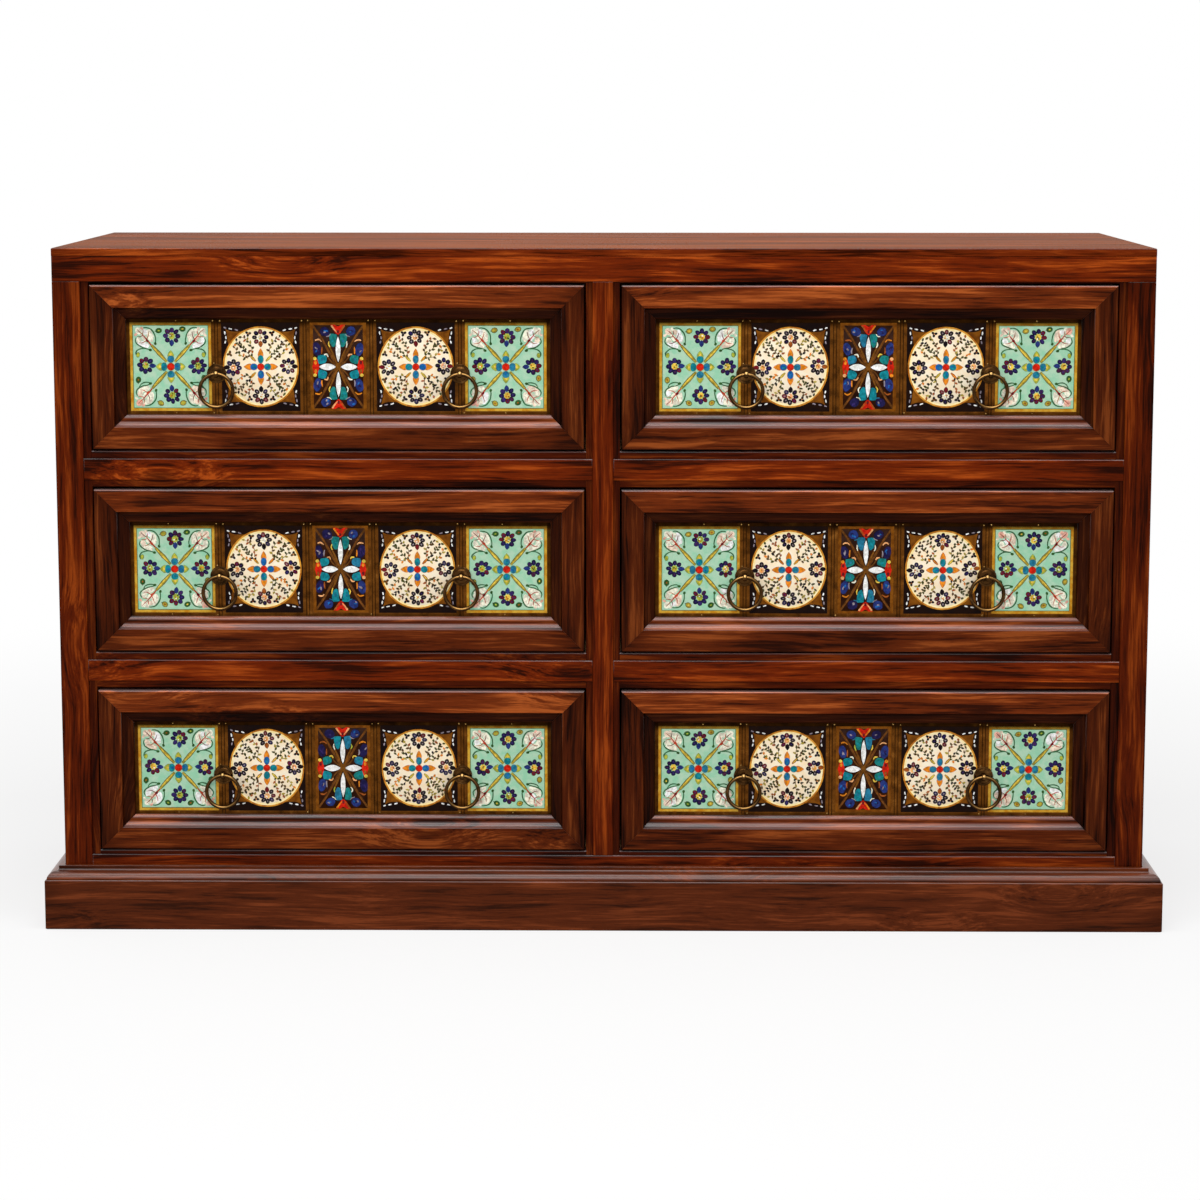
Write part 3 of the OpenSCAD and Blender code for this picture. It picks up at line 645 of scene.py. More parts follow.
def markBoards(shape, node, draw):
    # The grain runs along each board, and tells how dark each place is, with painted light and shade, and
    # where the moulding takes painted shade
    low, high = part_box(node)
    kind = "frame" if node.endswith("_frame") else "lip"
    gapShadeReach, gapShadeDepth = gapShadeSizes[kind], gapShadeSizes[kind + "Depth"]
    lipFrom, lipTo = (low.y + depth for depth in gapShadeSizes["behindLip"])
    grain = shape.verts.layers.float_vector.new("grain")
    span = shape.verts.layers.float_vector.new("span")
    mouldingShadeShare = shape.verts.layers.float.new("mouldingShadeShare")
    for board in islands(shape):
        lows = [min(vertex.co[axis] for vertex in board) for axis in range(3)]
        highs = [max(vertex.co[axis] for vertex in board) for axis in range(3)]
        lengths = [top - bottom for top, bottom in zip(highs, lows)]
        along = lengths.index(max(lengths))
        across, through = [axis for axis in range(3) if axis != along]
        shift = Vector([draw.uniform(0, boardSizes["grainShift"]) for _ in range(3)])
        half, centre = lengths[along] / 2, (lows[along] + highs[along]) / 2
        offset = Vector([(top + bottom) / 2 for top, bottom in zip(highs, lows)]) - (low + high) / 2
        tone = boardToneWithPaintedLight(node, along, offset)
        # Painted shade in the moulding of a drawer front: full under its top piece, less at its sides, none
        # in its bottom piece
        mouldingShadeLevel = boardTonesWithPaintedLight["sideMouldingShade"] if along == 2 else 1.0 if offset.z > 0 else 0.0
        for vertex in board:
            place, shade = vertex.co, tone
            # Painted shade beside the gaps round the drawers and on the set-back lips round the openings; the
            # joint under the top board is darkened as a dark joint
            if place.y < gapShadeDepth and besideGap(place, *gapShadeReach):
                shade = tone * boardTonesWithPaintedLight["gap"]
            elif node in boardSizes["lipped"] and lipFrom < place.y < lipTo:
                shade = tone * boardTonesWithPaintedLight["lip"]
            elif node == "top_front_rail" and atJoint(place):
                shade = tone * boardTonesWithPaintedLight["joint"]
            vertex[grain] = Vector((place[along], place[across], place[through])) + shift
            vertex[span] = Vector((place[along] - centre, half, shade))
            vertex[mouldingShadeShare] = 0.0 if besideGap(place) else mouldingShadeLevel


def markFacing(shape, label, direction):
    # How far each corner of each face turns one way, from the faces that run on smoothly from it
    facing = shape.loops.layers.float.new(label)
    limit = math.cos(math.radians(boardSizes["smoothAngle"]))
    shape.normal_update()
    sized = {face: face.normal * face.calc_area() for face in shape.faces}
    for face in shape.faces:
        for corner in face.loops:
            near = corner.vert.link_faces
            smooth = [sized[other] for other in near if other.normal.dot(face.normal) > limit]
            corner[facing] = sum(smooth, Vector((0, 0, 0))).normalized().dot(direction)


def clearMark(shape, label, test):
    facing = shape.loops.layers.float[label]
    for face in shape.faces:
        for corner in face.loops:
            if test(corner.vert.co):
                corner[facing] = 0.0


def dressWood(node, seed):
    shape = weldedCopy(node)
    easeBoards(shape, node)
    markBoards(shape, node, random.Random(seed))
    markFacing(shape, "upward", Vector((0, 0, 1)))
    if node == "top_front_rail":
        # The edge that meets the top board takes no painted light, painted highlight or polish
        clearMark(shape, "upward", lambda place: place.z > topJoint - boardSizes["jointReach"])
    mesh = smoothed(shape, node + "_dressed", boardSizes["smoothAngle"], woods[slotOf[node]])
    if node == "back_rails":
        # The ends show in the sides, and are stained as they are
        mesh.materials.append(woods["carcass_wood"])
        for face in mesh.polygons:
            face.material_index = int(abs(face.normal.x) > boardSizes["endTurn"])
    finishPiece(mesh, node).modifiers.new("flatFaces", "WEIGHTED_NORMAL").keep_sharp = True


woodNodes = [node for node in nodes if slotOf[node].endswith("wood")]
for number, node in enumerate(sorted(woodNodes)):
    dressWood(node, number)
print("wood dressed:", len(woodNodes))


# Which way the painted highlight on the pulls faces, how far behind their front it reaches, and their
# smoothing angle
pullSizes = {"worn": Vector((0, -0.9, 0.436)), "glintReach": 4.5 * mm, "smoothAngle": 40}


def dressMetal(node, material):
    # Only the eye and the ring stand far enough forward to take the painted highlight
    shape = weldedCopy(node)
    markFacing(shape, "outward", pullSizes["worn"])
    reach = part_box(node)[0].y + pullSizes["glintReach"]
    clearMark(shape, "outward", lambda place: place.y > reach)
    finishPiece(smoothed(shape, node + "_dressed", pullSizes["smoothAngle"], material), node)


for drawer in drawers:
    dressMetal(drawer + "_pull_mounts", pullBrass)
    for side in ("left", "right"):
        dressMetal(f"{drawer}_{side}_ring", ringBrass)
print("pulls dressed")


# Outlines, in millimetres

quarters = ((1, 1), (-1, 1), (-1, -1), (1, -1))


def centroid(outline):
    return (sum(p[0] for p in outline) / len(outline), sum(p[1] for p in outline) / len(outline))


def mid(first, second, share=0.5):
    return (first[0] + (second[0] - first[0]) * share, first[1] + (second[1] - first[1]) * share)


def towards(point, goal, step):
    length = math.hypot(goal[0] - point[0], goal[1] - point[1]) or 1.0
    return mid(point, goal, step / length)


def grown(outline, by):
    middle = centroid(outline)
    return [towards(p, middle, -by) for p in outline]


def polar(centre, away, angle):
    return (centre[0] + away * math.cos(angle), centre[1] + away * math.sin(angle))


def turned(points, turn, centre):
    # Turns points about the origin and moves the origin to the centre
    c, s = math.cos(turn), math.sin(turn)
    return [(centre[0] + x * c - y * s, centre[1] + x * s + y * c) for x, y in points]


def flipped(points, right, up):
    return [(x * right, y * up) for x, y in points]


def shaken(draw, point, by):
    return (point[0] + draw.uniform(-by, by), point[1] + draw.uniform(-by, by))


def rectangle(x, y):
    return [(-x, -y), (x, -y), (x, y), (-x, y)]


def oval(centre, rx, ry, turn=0.0, count=12):
    angles = [math.tau * i / count for i in range(count)]
    return turned([(rx * math.cos(a), ry * math.sin(a)) for a in angles], turn, centre)


def leafOutline(root, turn, length, width, point=0.5, count=6):
    # From the root out along one side to the tip and back along the other
    shares = [i / count for i in range(1, count)]
    side = [(length * s, width / 2 * math.sin(math.pi * s ** (0.5 + point)) ** 0.8) for s in shares]
    return turned([(0.0, 0.0)] + flipped(side, 1, -1) + [(length, 0.0)] + side[::-1], turn, root)


def curve(points, steps=4):
    # A smooth line through the points
    padded = [points[0]] + list(points) + [points[-1]]
    line = []
    for i in range(len(points) - 1):
        a, b, c, d = padded[i:i + 4]
        for step in range(steps):
            t = step / steps
            line.append(tuple(
                0.5 * (2 * b[k] + (c[k] - a[k]) * t + (2 * a[k] - 5 * b[k] + 4 * c[k] - d[k]) * t * t
                       + (3 * b[k] - a[k] - 3 * c[k] + d[k]) * t ** 3) for k in (0, 1)))
    return line + [tuple(points[-1])]


reliefSizes = {"backing": 0.1, "shoulder": 0.8, "drawnIn": 0.35, "bandEdge": 0.6, "smoothAngle": 50}


class Relief:
    # Gathers flat-backed raised shapes, drawn in millimetres from the middle of a tile, into one mesh

    def __init__(self, seed=0, centre=None):
        self.draw = random.Random(seed)
        self.points, self.faces, self.slots, self.materials = [], [], [], []
        self.centre = centre
        self.level = 0.0  # what the heights of spots and strokes are counted from

    def slot(self, material):
        if material not in self.materials:
            self.materials.append(material)
        return self.materials.index(material)

    def enamel(self, colour):
        # The slot of one enamel, or of one picked from a list
        return self.slot(enamels[self.draw.choice(colour) if isinstance(colour, list) else colour])

    def place(self, point, height):
        self.points.append(self.centre + Vector((point[0] * mm, -height * mm, point[1] * mm)))
        return len(self.points) - 1

    def lay(self, *lines):
        return [[self.place(point, height) for point in line] for line, height in lines]

    def add(self, corners, slot):
        self.faces.append(corners)
        self.slots.append(slot)

    def walls(self, rings, slot, closed=True):
        for low, high in zip(rings, rings[1:]):
            count = len(low)
            for i in range(count if closed else count - 1):
                j = (i + 1) % count
                self.add((low[i], low[j], high[j], high[i]), slot)

    def prism(self, outline, back, front, material, edge):
        # A flat-faced block, with its front edge drawn in a little
        slot = self.slot(material)
        middle = centroid(outline)
        inner = [towards(p, middle, edge) for p in outline]
        rings = self.lay((outline, back), (outline, front - edge), (inner, front))
        self.walls(rings, slot)
        self.add(rings[-1], slot)
        self.add(rings[0][::-1], slot)

    def ring(self, outer, inner, back, front, material):
        # A raised band between two outlines with as many points, crowned in the middle
        crown = [mid(a, b) for a, b in zip(outer, inner)]
        edge = front * reliefSizes["bandEdge"]
        rings = self.lay((outer, back), (outer, edge), (crown, front), (inner, edge), (inner, back))
        self.walls(rings + rings[:1], self.slot(material))

    def drop(self, outline, rise, colour, dome=0.07):
        # A domed spot of enamel
        slot = self.enamel(colour)
        level = self.level + rise
        middle = centroid(outline)
        inner = [mid(p, middle, reliefSizes["drawnIn"]) for p in outline]
        back, shoulder = level - reliefSizes["backing"], level + dome * reliefSizes["shoulder"]
        rings = self.lay((outline, back), (outline, level), (inner, shoulder))
        self.walls(rings, slot)
        top = self.place(middle, level + dome)
        count = len(outline)
        for i in range(count):
            self.add((rings[-1][i], rings[-1][(i + 1) % count], top), slot)
        self.add(rings[0][::-1], slot)

    def outlined(self, outline, margin, edge, low, colour, high, dome=0.07):
        # A spot on a slightly larger one
        self.drop(grown(outline, margin), low, edge)
        self.drop(outline, high, colour, dome)

    def stroke(self, path, widths, rise, colour, dome=0.06):
        # A brush stroke along a path, with its width at the start, in the middle and at the end
        slot = self.enamel(colour)
        level = self.level + rise
        under = level - reliefSizes["backing"]
        count = len(path)
        first, middle, last = widths
        left, right = [], []
        for i, p in enumerate(path):
            share = i / (count - 1)
            if share < 0.5:
                width = first + (middle - first) * 2 * share
            else:
                width = middle + (last - middle) * (2 * share - 1)
            back, ahead = path[max(i - 1, 0)], path[min(i + 1, count - 1)]
            dx, dy = ahead[0] - back[0], ahead[1] - back[1]
            length = math.hypot(dx, dy) or 1.0
            nx, ny = -dy / length * width / 2, dx / length * width / 2
            left.append((p[0] + nx, p[1] + ny))
            right.append((p[0] - nx, p[1] - ny))
        sides = self.lay((right, under), (right, level), (path, level + dome), (left, level), (left, under))
        self.walls(sides + sides[:1], slot, closed=False)
        self.add([side[0] for side in sides], slot)
        self.add([side[-1] for side in sides][::-1], slot)

    def mesh(self, name):
        shape = bmesh.new()
        vertices = [shape.verts.new(point) for point in self.points]
        for corners, slot in zip(self.faces, self.slots):
            shape.faces.new([vertices[corner] for corner in corners]).material_index = slot
        bmesh.ops.recalc_face_normals(shape, faces=shape.faces)
        return smoothed(shape, name, reliefSizes["smoothAngle"], *self.materials)


# Painted flowers and leaves

gardenFlower = {
    # Each one's place and the way its long petal points, in degrees
    "places": [((1.4, 40.4), -90), ((1.1, -37.6), 90), ((-33.4, 1.4), 0), ((35.6, 0.9), 180)],
    "shake": 0.5, "petals": 8, "radius": 7.9, "long": 6.6, "wide": 5.3, "heart": 4.1, "outline": 0.55,
    "tips": ["cobalt"], "colours": ["navy", "navy", "indigo", "navy", "purple", "maroon"],
    "light": ["indigo", "purple", "indigo"], "hearts": ["yellow", "yellow", "lime"],
    "dabs": ["orange", "green", "rust", "white", "moss"],
}
plateFlower = {
    "places": [((-0.3, 39.4), -90), ((0.0, -38.5), 90), ((-36.1, -1.0), 180), ((36.6, 1.3), 0)],
    "shake": 0.4, "petals": 8, "radius": 7.7, "long": 6.3, "wide": 4.9, "heart": 3.5, "outline": 0.55,
    "tips": ["ink", "maroon", "rust", "ink"], "colours": ["ink", "ink", "ink", "ink", "maroon", "navy"],
    "light": ["lilac", "grey", "grey", "indigo"], "hearts": ["peach", "shell", "peach"],
    "dabs": ["orange", "rust", "white", "yellow"],
}


def paintFlower(relief, centre, look, pointed):
    # Petals round a small heart, each with a dark outline, and a long one that points one way
    draw = relief.draw
    turn = draw.uniform(-0.1, 0.1) + math.pi / 2
    for i in range(look["petals"]):
        a = turn + math.tau * i / look["petals"]
        away = look["radius"] * draw.uniform(0.94, 1.04)
        if abs(math.remainder(a - pointed, math.tau)) < 0.3:
            tip = leafOutline(polar(centre, away * 0.6, a), a, look["long"] * 1.35, look["wide"] * 1.1, 0.4)
            relief.outlined(tip, 0.3, "ink", 0.0, look["tips"], 0.05)
            continue
        root = polar(centre, away, a)
        rx, ry = look["long"] / 2 * draw.uniform(0.88, 1.1), look["wide"] / 2 * draw.uniform(0.88, 1.1)
        petal = oval(root, rx, ry, a + draw.uniform(-0.15, 0.15), 10)
        relief.outlined(petal, look["outline"], "ink", 0.0, look["colours"], 0.05)
        relief.drop(oval(root, rx * 0.44, ry * 0.4, a, 8), 0.12, look["light"], 0.03)
    relief.drop(oval(centre, look["heart"], look["heart"] * 1.1, 0, 10), 0.04, look["hearts"])
    for _ in range(4):
        dab = oval(shaken(draw, centre, look["heart"] * 0.55), 1.3, 0.9, draw.uniform(0, 3), 7)
        relief.drop(dab, 0.1, look["dabs"], 0.03)


def paintFlowers(relief, look):
    for place, pointed in look["places"]:
        paintFlower(relief, shaken(relief.draw, place, look["shake"]), look, math.radians(pointed))


leafArms = {
    # Each petal's base, where its two colours join, its tip and its width
    "petals": [
        (5.0, 12.8, 19.0, 10.4), (6.0, 14.6, 21.6, 8.8), (5.6, 12.8, 19.6, 11.0), (6.2, 14.4, 21.6, 9.2)],
    "tip": "lime", "eye": "yellow", "edge": "moss", "blues": ["blue", "blue", "teal"], "dot": 4.8,
}
plateArms = {
    "petals": [
        (5.0, 13.4, 22.6, 8.8), (5.2, 15.2, 24.2, 7.6), (5.0, 13.6, 22.4, 8.8), (5.4, 15.4, 24.0, 8.2)],
    "tip": "orange", "eye": None, "edge": "rust", "blues": ["royal", "teal", "blue"], "dot": 4.4,
}


def paintCross(relief, arms):
    # The two-coloured petals and the red dot in the middle of a tile
    middle = (0.0, 0.0)
    relief.level += 0.06
    for quarter, (base, join, tip, wide) in enumerate(arms["petals"]):
        a = quarter * math.pi / 2
        far = join * 0.8
        outer = leafOutline(polar(middle, far, a), a, tip - far, wide * 0.92, 0.1, 7)
        relief.outlined(outer, 0.3, arms["edge"], 0.0, arms["tip"], 0.05)
        heart = mid(polar(middle, base, a), polar(middle, join, a))
        inner = oval(heart, (join - base) / 2 + 0.6, wide / 2, a, 14)
        relief.outlined(inner, 0.25, arms["edge"], 0.04, arms["blues"], 0.1)
        spot = polar(middle, base + (join - base) * 0.35, a + relief.draw.uniform(-0.12, 0.12))
        relief.drop(oval(spot, 2.3, 1.3, a, 8), 0.18, ["blue", "teal", "royal"], 0.04)
        if arms["eye"]:
            eye = polar(middle, join + (tip - join) * 0.25, a)
            relief.drop(oval(eye, 1.7, 1.9, a, 8), 0.18, arms["eye"], 0.04)
    relief.outlined(oval(middle, arms["dot"], arms["dot"], 0, 14), 0.4, "rust", 0.08, "red", 0.14, 0.12)


heartLeaf = {
    # Spots are given by their middle, two radii or lengths, and their lean in degrees
    "lobes": [
        ((27.4, 41.6), 8.6, 4.4, 74), ((36.4, 29.0), 8.4, 4.4, 14), ((34.4, 38.0), 6.8, 3.0, 48),
        ((41.6, 35.0), 4.6, 3.4, 62), ((33.2, 46.6), 4.4, 3.4, 30),
    ],
    "tips": [((42.2, 47.4), 5.2, 4.4), ((37.6, 50.8), 2.6, 1.8), ((46.4, 42.4), 1.8, 2.6)],
    "edges": [[(20.4, 29.8), (19.8, 35.4), (21.0, 42.6), (25.4, 49.2), (31.0, 51.8), (35.4, 51.6)],
              [(27.2, 22.6), (32.6, 24.6), (38.6, 26.0), (44.6, 29.6), (46.8, 34.0), (45.0, 38.4)]],
    "buds": [((20.2, 31.0), 3.6, 2.8, 70), ((27.2, 22.0), 3.8, 2.8, 10)],
    "midrib": [(24.2, 27.2), (28.4, 32.2), (32.8, 37.6), (37.6, 43.2)],
    "veins": [
        [(31.8, 36.6), (29.6, 41.0), (28.4, 46.4)], [(31.4, 35.4), (36.4, 31.6), (41.4, 31.2)],
        [(36.6, 42.4), (35.8, 45.6), (36.2, 48.6)], [(36.6, 41.2), (40.6, 39.6), (44.0, 39.8)],
        [(37.6, 43.2), (40.6, 46.2), (44.4, 49.6)],
    ],
    "stem": [(5.4, 6.4), (11.5, 13.4), (18.6, 21.2), (25.2, 28.6)],
    "hook": [(32.0, 24.2), (38.6, 24.0), (43.8, 21.6), (46.2, 17.6), (44.4, 13.6)],
    "tendril": [(26.0, 22.8), (30.0, 20.8), (35.6, 21.0), (40.2, 23.4), (42.4, 27.6)],
}
smallLeaves = [
    ((-15.0, 48.2), 0.2), ((16.6, 50.2), 0.2), ((-43.6, -17.2), 1.5), ((43.4, -15.4), 1.4),
    ((-14.4, -48.2), -0.5), ((15.8, -48.0), 3.6),
]


def paintLeafTile(relief):
    # Crossed stems with heart-shaped leaves in the corners, and a flower on each side
    draw = relief.draw
    relief.level = 0.06
    for right, up in quarters:
        def here(*points):
            return flipped([shaken(draw, p, 0.45) for p in points], right, up)

        def lean(degrees):
            return math.radians(degrees) * right * up
        for spot, rx, ry, degrees in heartLeaf["lobes"]:
            lobe = [shaken(draw, p, 0.5) for p in oval(here(spot)[0], rx, ry, lean(degrees), 14)]
            relief.drop(lobe, 0.0, ["shell", "shell", "shell", "white", "blush"], 0.04)
        for spot, rx, ry in heartLeaf["tips"]:
            relief.drop(oval(here(spot)[0], rx, ry, lean(50), 9), 0.03, ["pink", "blush", "shell"], 0.05)
        for edge in heartLeaf["edges"]:
            relief.stroke(curve(here(*edge), 3), (1.2, 1.9, 1.2), 0.05, "line")
        for spot, long, wide, degrees in heartLeaf["buds"]:
            bud = oval(here(spot)[0], long / 2, wide / 2, lean(degrees), 8)
            relief.outlined(bud, 0.4, "moss", 0.04, "green", 0.09)
        for vein in heartLeaf["veins"]:
            colour = draw.choice(["vein", "maroon", "rust", "vein"])
            relief.stroke(curve(here(*vein), 3), (0.9, 1.1, 0.5), 0.09, colour)
        relief.stroke(curve(here(*heartLeaf["midrib"]), 3), (1.7, 2.2, 0.8), 0.1, "vein")
        relief.drop(oval(here((30.6, 34.8))[0], 2.5, 1.8, lean(50), 8), 0.16, ["maroon", "vein"])
        stem = curve(flipped(heartLeaf["stem"], right, up), 4)
        relief.stroke(stem, (3.0, 5.6, 3.4), 0.08, "moss")
        relief.stroke(stem, (2.0, 4.2, 2.2), 0.14, "olive")
        lit = [(p[0] + 0.5 * right, p[1] - 0.3 * up) for p in stem[2:-2]]
        relief.stroke(lit, (0.7, 1.8, 0.7), 0.21, "yellow", 0.04)
        if up > 0:
            relief.stroke(curve(here(*heartLeaf["hook"]), 3), (1.2, 1.7, 2.2), 0.05, "line")
            leaf = oval(here((43.4, 15.8))[0], 3.2, 2.2, lean(100), 9)
            relief.outlined(leaf, 0.4, "green", 0.05, "lime", 0.1)
        else:
            relief.stroke(curve(here(*heartLeaf["tendril"]), 3), (1.2, 1.7, 1.0), 0.04, "line")
    for place, angle in smallLeaves:
        place = shaken(draw, place, 0.5)
        leaf = oval(place, 3.8, 3.0, angle + draw.uniform(-0.2, 0.2), 10)
        relief.outlined(leaf, 0.7, "moss", 0.0, ["green", "olive"], 0.06)
        relief.drop(oval(place, 1.5, 1.0, angle, 7), 0.14, ["lime", "yellow", "rust"], 0.03)
        tail = polar(place, -5.6, angle)
        relief.stroke([tail, mid(tail, place)], (0.6, 1.0, 1.4), 0.02, "moss")
    paintFlowers(relief, gardenFlower)
    paintCross(relief, leafArms)


sprig = {
    "stem": [(6.8, 7.4), (10.4, 11.0), (13.6, 14.6)],
    "branches": [
        ([(11.4, 12.2), (17.6, 18.6), (25.0, 27.0), (32.4, 35.4)], ["moss", "earth", "ink", "moss"]),
        ([(11.8, 16.8), (12.0, 26.0), (16.6, 34.0), (25.6, 39.6)], ["earth", "rust", "olive", "moss"]),
        ([(16.0, 11.8), (24.6, 13.4), (31.8, 20.6), (36.0, 28.8)], ["moss", "olive", "orange", "earth"]),
    ],
    "spacing": 1.9, "leaf": (3.8, 5.6), "width": (2.4, 3.2), "spread": (15, 80),
}
trefoils = [
    ((-16.0, 44.0), 80), ((15.9, 44.8), 100), ((-41.0, 17.4), 20), ((40.3, 20.0), 150), ((-41.3, -17.6), -20),
    ((40.8, -16.9), 200), ((-15.2, -43.0), -80), ((15.6, -42.6), -100),
]


def paintPlateTile(relief):
    # The round medallion: flowers on four sides, sprays of short dabs between them
    draw = relief.draw
    relief.level = 0.26
    for right, up in quarters:
        stem = curve(flipped(sprig["stem"], right, up), 3)
        relief.stroke(stem, (1.8, 3.8, 2.2), 0.0, ["olive", "rust"])
        relief.stroke(stem[1:], (0.8, 1.7, 0.8), 0.07, ["yellow", "orange"], 0.03)
        for path, colours in sprig["branches"]:
            line = curve(flipped([shaken(draw, p, 0.6) for p in path], right, up), 6)
            relief.stroke(line, (0.8, 0.7, 0.4), 0.0, colours[0])
            walked, side = 0.0, 1
            for back, ahead in zip(line, line[1:]):
                walked += math.dist(back, ahead)
                if walked < sprig["spacing"]:
                    continue
                walked, side = 0.0, -side
                heading = math.atan2(ahead[1] - back[1], ahead[0] - back[0])
                angle = heading + side * math.radians(draw.uniform(*sprig["spread"]))
                length, width = draw.uniform(*sprig["leaf"]), draw.uniform(*sprig["width"])
                relief.drop(leafOutline(back, angle, length, width, 0.3, 5), 0.04, colours)
    for place, degrees in trefoils:
        place = shaken(draw, place, 0.5)
        for turn in (65, 180, -65):
            angle = math.radians(degrees + turn + draw.uniform(-10, 10))
            lobe = oval(polar(place, 2.1, angle), 2.3, 1.7, angle, 8)
            relief.drop(lobe, 0.03, ["ink", "ink", "earth", "ink"])
        relief.drop(oval(place, 0.9, 0.8, 0, 7), 0.12, ["peach", "rust", "grey"], 0.03)
    paintFlowers(relief, plateFlower)
    paintCross(relief, plateArms)


cornerDashes = [
    ((29.6, 48.2), (33.8, 49.6)), ((37.6, 50.0), (42.0, 50.8)), ((45.2, 51.0), (48.6, 52.4)),
    ((47.6, 47.2), (47.0, 42.8)), ((45.8, 40.8), (45.4, 36.8)), ((46.0, 34.8), (46.9, 31.0)),
]


def paintPlateCorners(relief):
    # Pale dashes that follow the dark corners
    draw = relief.draw
    relief.level = 0.1
    for right, up in quarters:
        for start, end in cornerDashes:
            path = curve(flipped([start, shaken(draw, mid(start, end), 0.35), end], right, up), 2)
            relief.stroke(path, (1.2, draw.uniform(1.6, 2.2), 1.2), 0.0, ["white", "white", "lilac", "white"])


starTile = {
    # Each vine's path, its widths and its colour
    "vines": [
        ([(1.0, 2.0), (7.0, 11.0), (14.8, 25.0), (22.6, 39.0), (34.6, 56.4)], (3.6, 3.4, 2.6), "brown"),
        ([(1.6, 3.0), (4.6, 10.0), (7.6, 18.6), (11.6, 27.0)], (3.4, 3.0, 1.6), "bronze"),
        ([(2.4, 2.2), (9.0, 6.6), (16.0, 16.0)], (3.4, 2.2, 1.0), "brown"),
        ([(3.0, 6.0), (8.6, 14.4), (16.0, 28.0), (24.4, 42.6), (33.6, 54.6)], (0.8, 1.1, 0.8), "rust"),
    ],
    "leaves": [
        [(1.8, 43.2), (10.8, 44.0), (11.6, 38.0), (10.4, 31.2), (7.4, 26.6), (4.0, 27.8), (2.6, 35.2)],
        [(26.6, 14.6), (18.6, 15.8), (15.6, 12.2), (15.2, 8.2), (18.4, 5.4), (25.8, 4.0), (27.2, 9.0)],
    ],
    "buds": [((17.2, 47.2), 6.4, 5.8, 30), ((28.2, 23.8), 9.0, 5.2, 80)],
    "accents": [
        ([(22.0, 33.4), (24.8, 36.0), (28.2, 36.2), (30.6, 35.0)], 2.2, ["orange", "peach", "rust"]),
        ([(21.6, 26.2), (22.0, 21.4), (21.6, 17.6)], 2.0, ["orange", "rust", "lilac"]),
        ([(11.6, 33.6), (12.2, 29.6), (10.6, 26.0)], 1.8, ["shell", "yellow", "lime"]),
        ([(13.2, 13.6), (14.8, 16.6), (18.6, 16.4)], 2.2, ["shell", "yellow", "peach"]),
        ([(9.6, 43.6), (11.8, 41.4), (15.4, 40.2)], 1.4, ["lilac", "blue", "shell"]),
    ],
    "tulip": [
        (-10.0, 56.0), (-5.6, 48.6), (0.0, 42.6), (5.6, 48.6), (10.0, 56.0), (5.0, 56.4), (0.0, 53.6),
        (-5.0, 56.4)],
    "lip": [(1.6, 46.0), (5.4, 50.4), (8.6, 55.0)],
    "sideTulip": [
        (28.6, -11.6), (26.4, -5.0), (25.0, 0.0), (26.4, 5.0), (28.6, 11.6), (32.4, 8.6), (33.4, 3.6),
        (36.4, 0.0), (33.4, -3.6), (32.4, -8.6)],
    # Each spot's place, its two radii, how many corners it has, its dome and its colours
    "sideSpots": [
        ((31.0, 11.0), 2.5, 2.3, 9, 0.06, ["yellow", "orange", "peach"]),
        ((30.0, 5.6), 1.8, 2.6, 8, 0.03, ["orange", "rust", "maroon"]),
    ],
}


def paintTulip(relief, outline, right, up):
    relief.drop(curve(flipped(outline + outline[:1], right, up), 2)[:-1], 0.12, "red")


def paintMiddleTile(relief):
    # A white four-armed star with leaves, tulips and buds between crossed vines
    draw = relief.draw
    relief.level = 0.06
    for right, up in quarters:
        def here(*points):
            return flipped([shaken(draw, p, 0.5) for p in points], right, up)
        for path, widths, colour in starTile["vines"]:
            relief.stroke(curve(flipped(path, right, up), 4), widths, 0.0, colour)
        for leaf in starTile["leaves"]:
            outline = curve(here(*leaf, leaf[0]), 2)[:-1]
            relief.outlined(outline, 0.4, "ink", 0.06, ["teal", "teal", "sea", "blue"], 0.11)
            shine = oval(shaken(draw, centroid(outline), 1.0), 2.4, 1.5, draw.uniform(0, 3), 8)
            relief.drop(shine, 0.19, ["blue", "teal"], 0.03)
        for spot, rx, ry, degrees in starTile["buds"]:
            centre, angle = here(spot)[0], math.radians(degrees) * right * up
            bud = [shaken(draw, p, 0.4) for p in oval(centre, rx, ry, angle, 12)]
            relief.outlined(bud, 0.5, ["ink", "navy", "ink"], 0.04, ["cobalt", "cobalt", "navy"], 0.1)
            for _ in range(3):
                spot = shaken(draw, centre, ry * 0.5)
                mark = oval(spot, rx * 0.3, ry * 0.2, angle + draw.uniform(-0.8, 0.8), 7)
                relief.drop(mark, 0.18, ["navy", "indigo", "royal", "lilac"], 0.03)
        for path, width, colours in starTile["accents"]:
            relief.stroke(curve(here(*path), 3), (width * 0.5, width, width * 0.6), 0.14, colours)
    for up in (1, -1):
        lens = leafOutline((0, 6.2 * up), math.pi / 2 * up, 34.0, 6.4, 0.5, 9)
        relief.outlined(lens, 0.5, "ink", 0.1, "white", 0.15, 0.12)
        paintTulip(relief, starTile["tulip"], 1, up)
        for hand in (1, -1):
            lip = curve(flipped(starTile["lip"], hand, up), 3)
            relief.stroke(lip, (0.7, 1.8, 2.6), 0.2, ["orange", "rust", "peach"])
        relief.drop(oval((0, 47.0 * up), 1.5, 2.6, 0, 8), 0.2, "maroon", 0.04)
    for right in (1, -1):
        lens = leafOutline((3.2 * right, 0), 0 if right > 0 else math.pi, 22.2, 8.8, 0.5, 9)
        relief.outlined(lens, 0.5, "ink", 0.1, "white", 0.15, 0.12)
        paintTulip(relief, starTile["sideTulip"], right, 1)
        for up in (1, -1):
            for place, rx, ry, count, dome, colours in starTile["sideSpots"]:
                relief.drop(oval(flipped([place], right, up)[0], rx, ry, 0, count), 0.2, colours, dome)
    relief.drop(oval((0, 0.5), 4.0, 4.6, 0, 12), 0.06, "bronze", 0.1)


# The tiles themselves

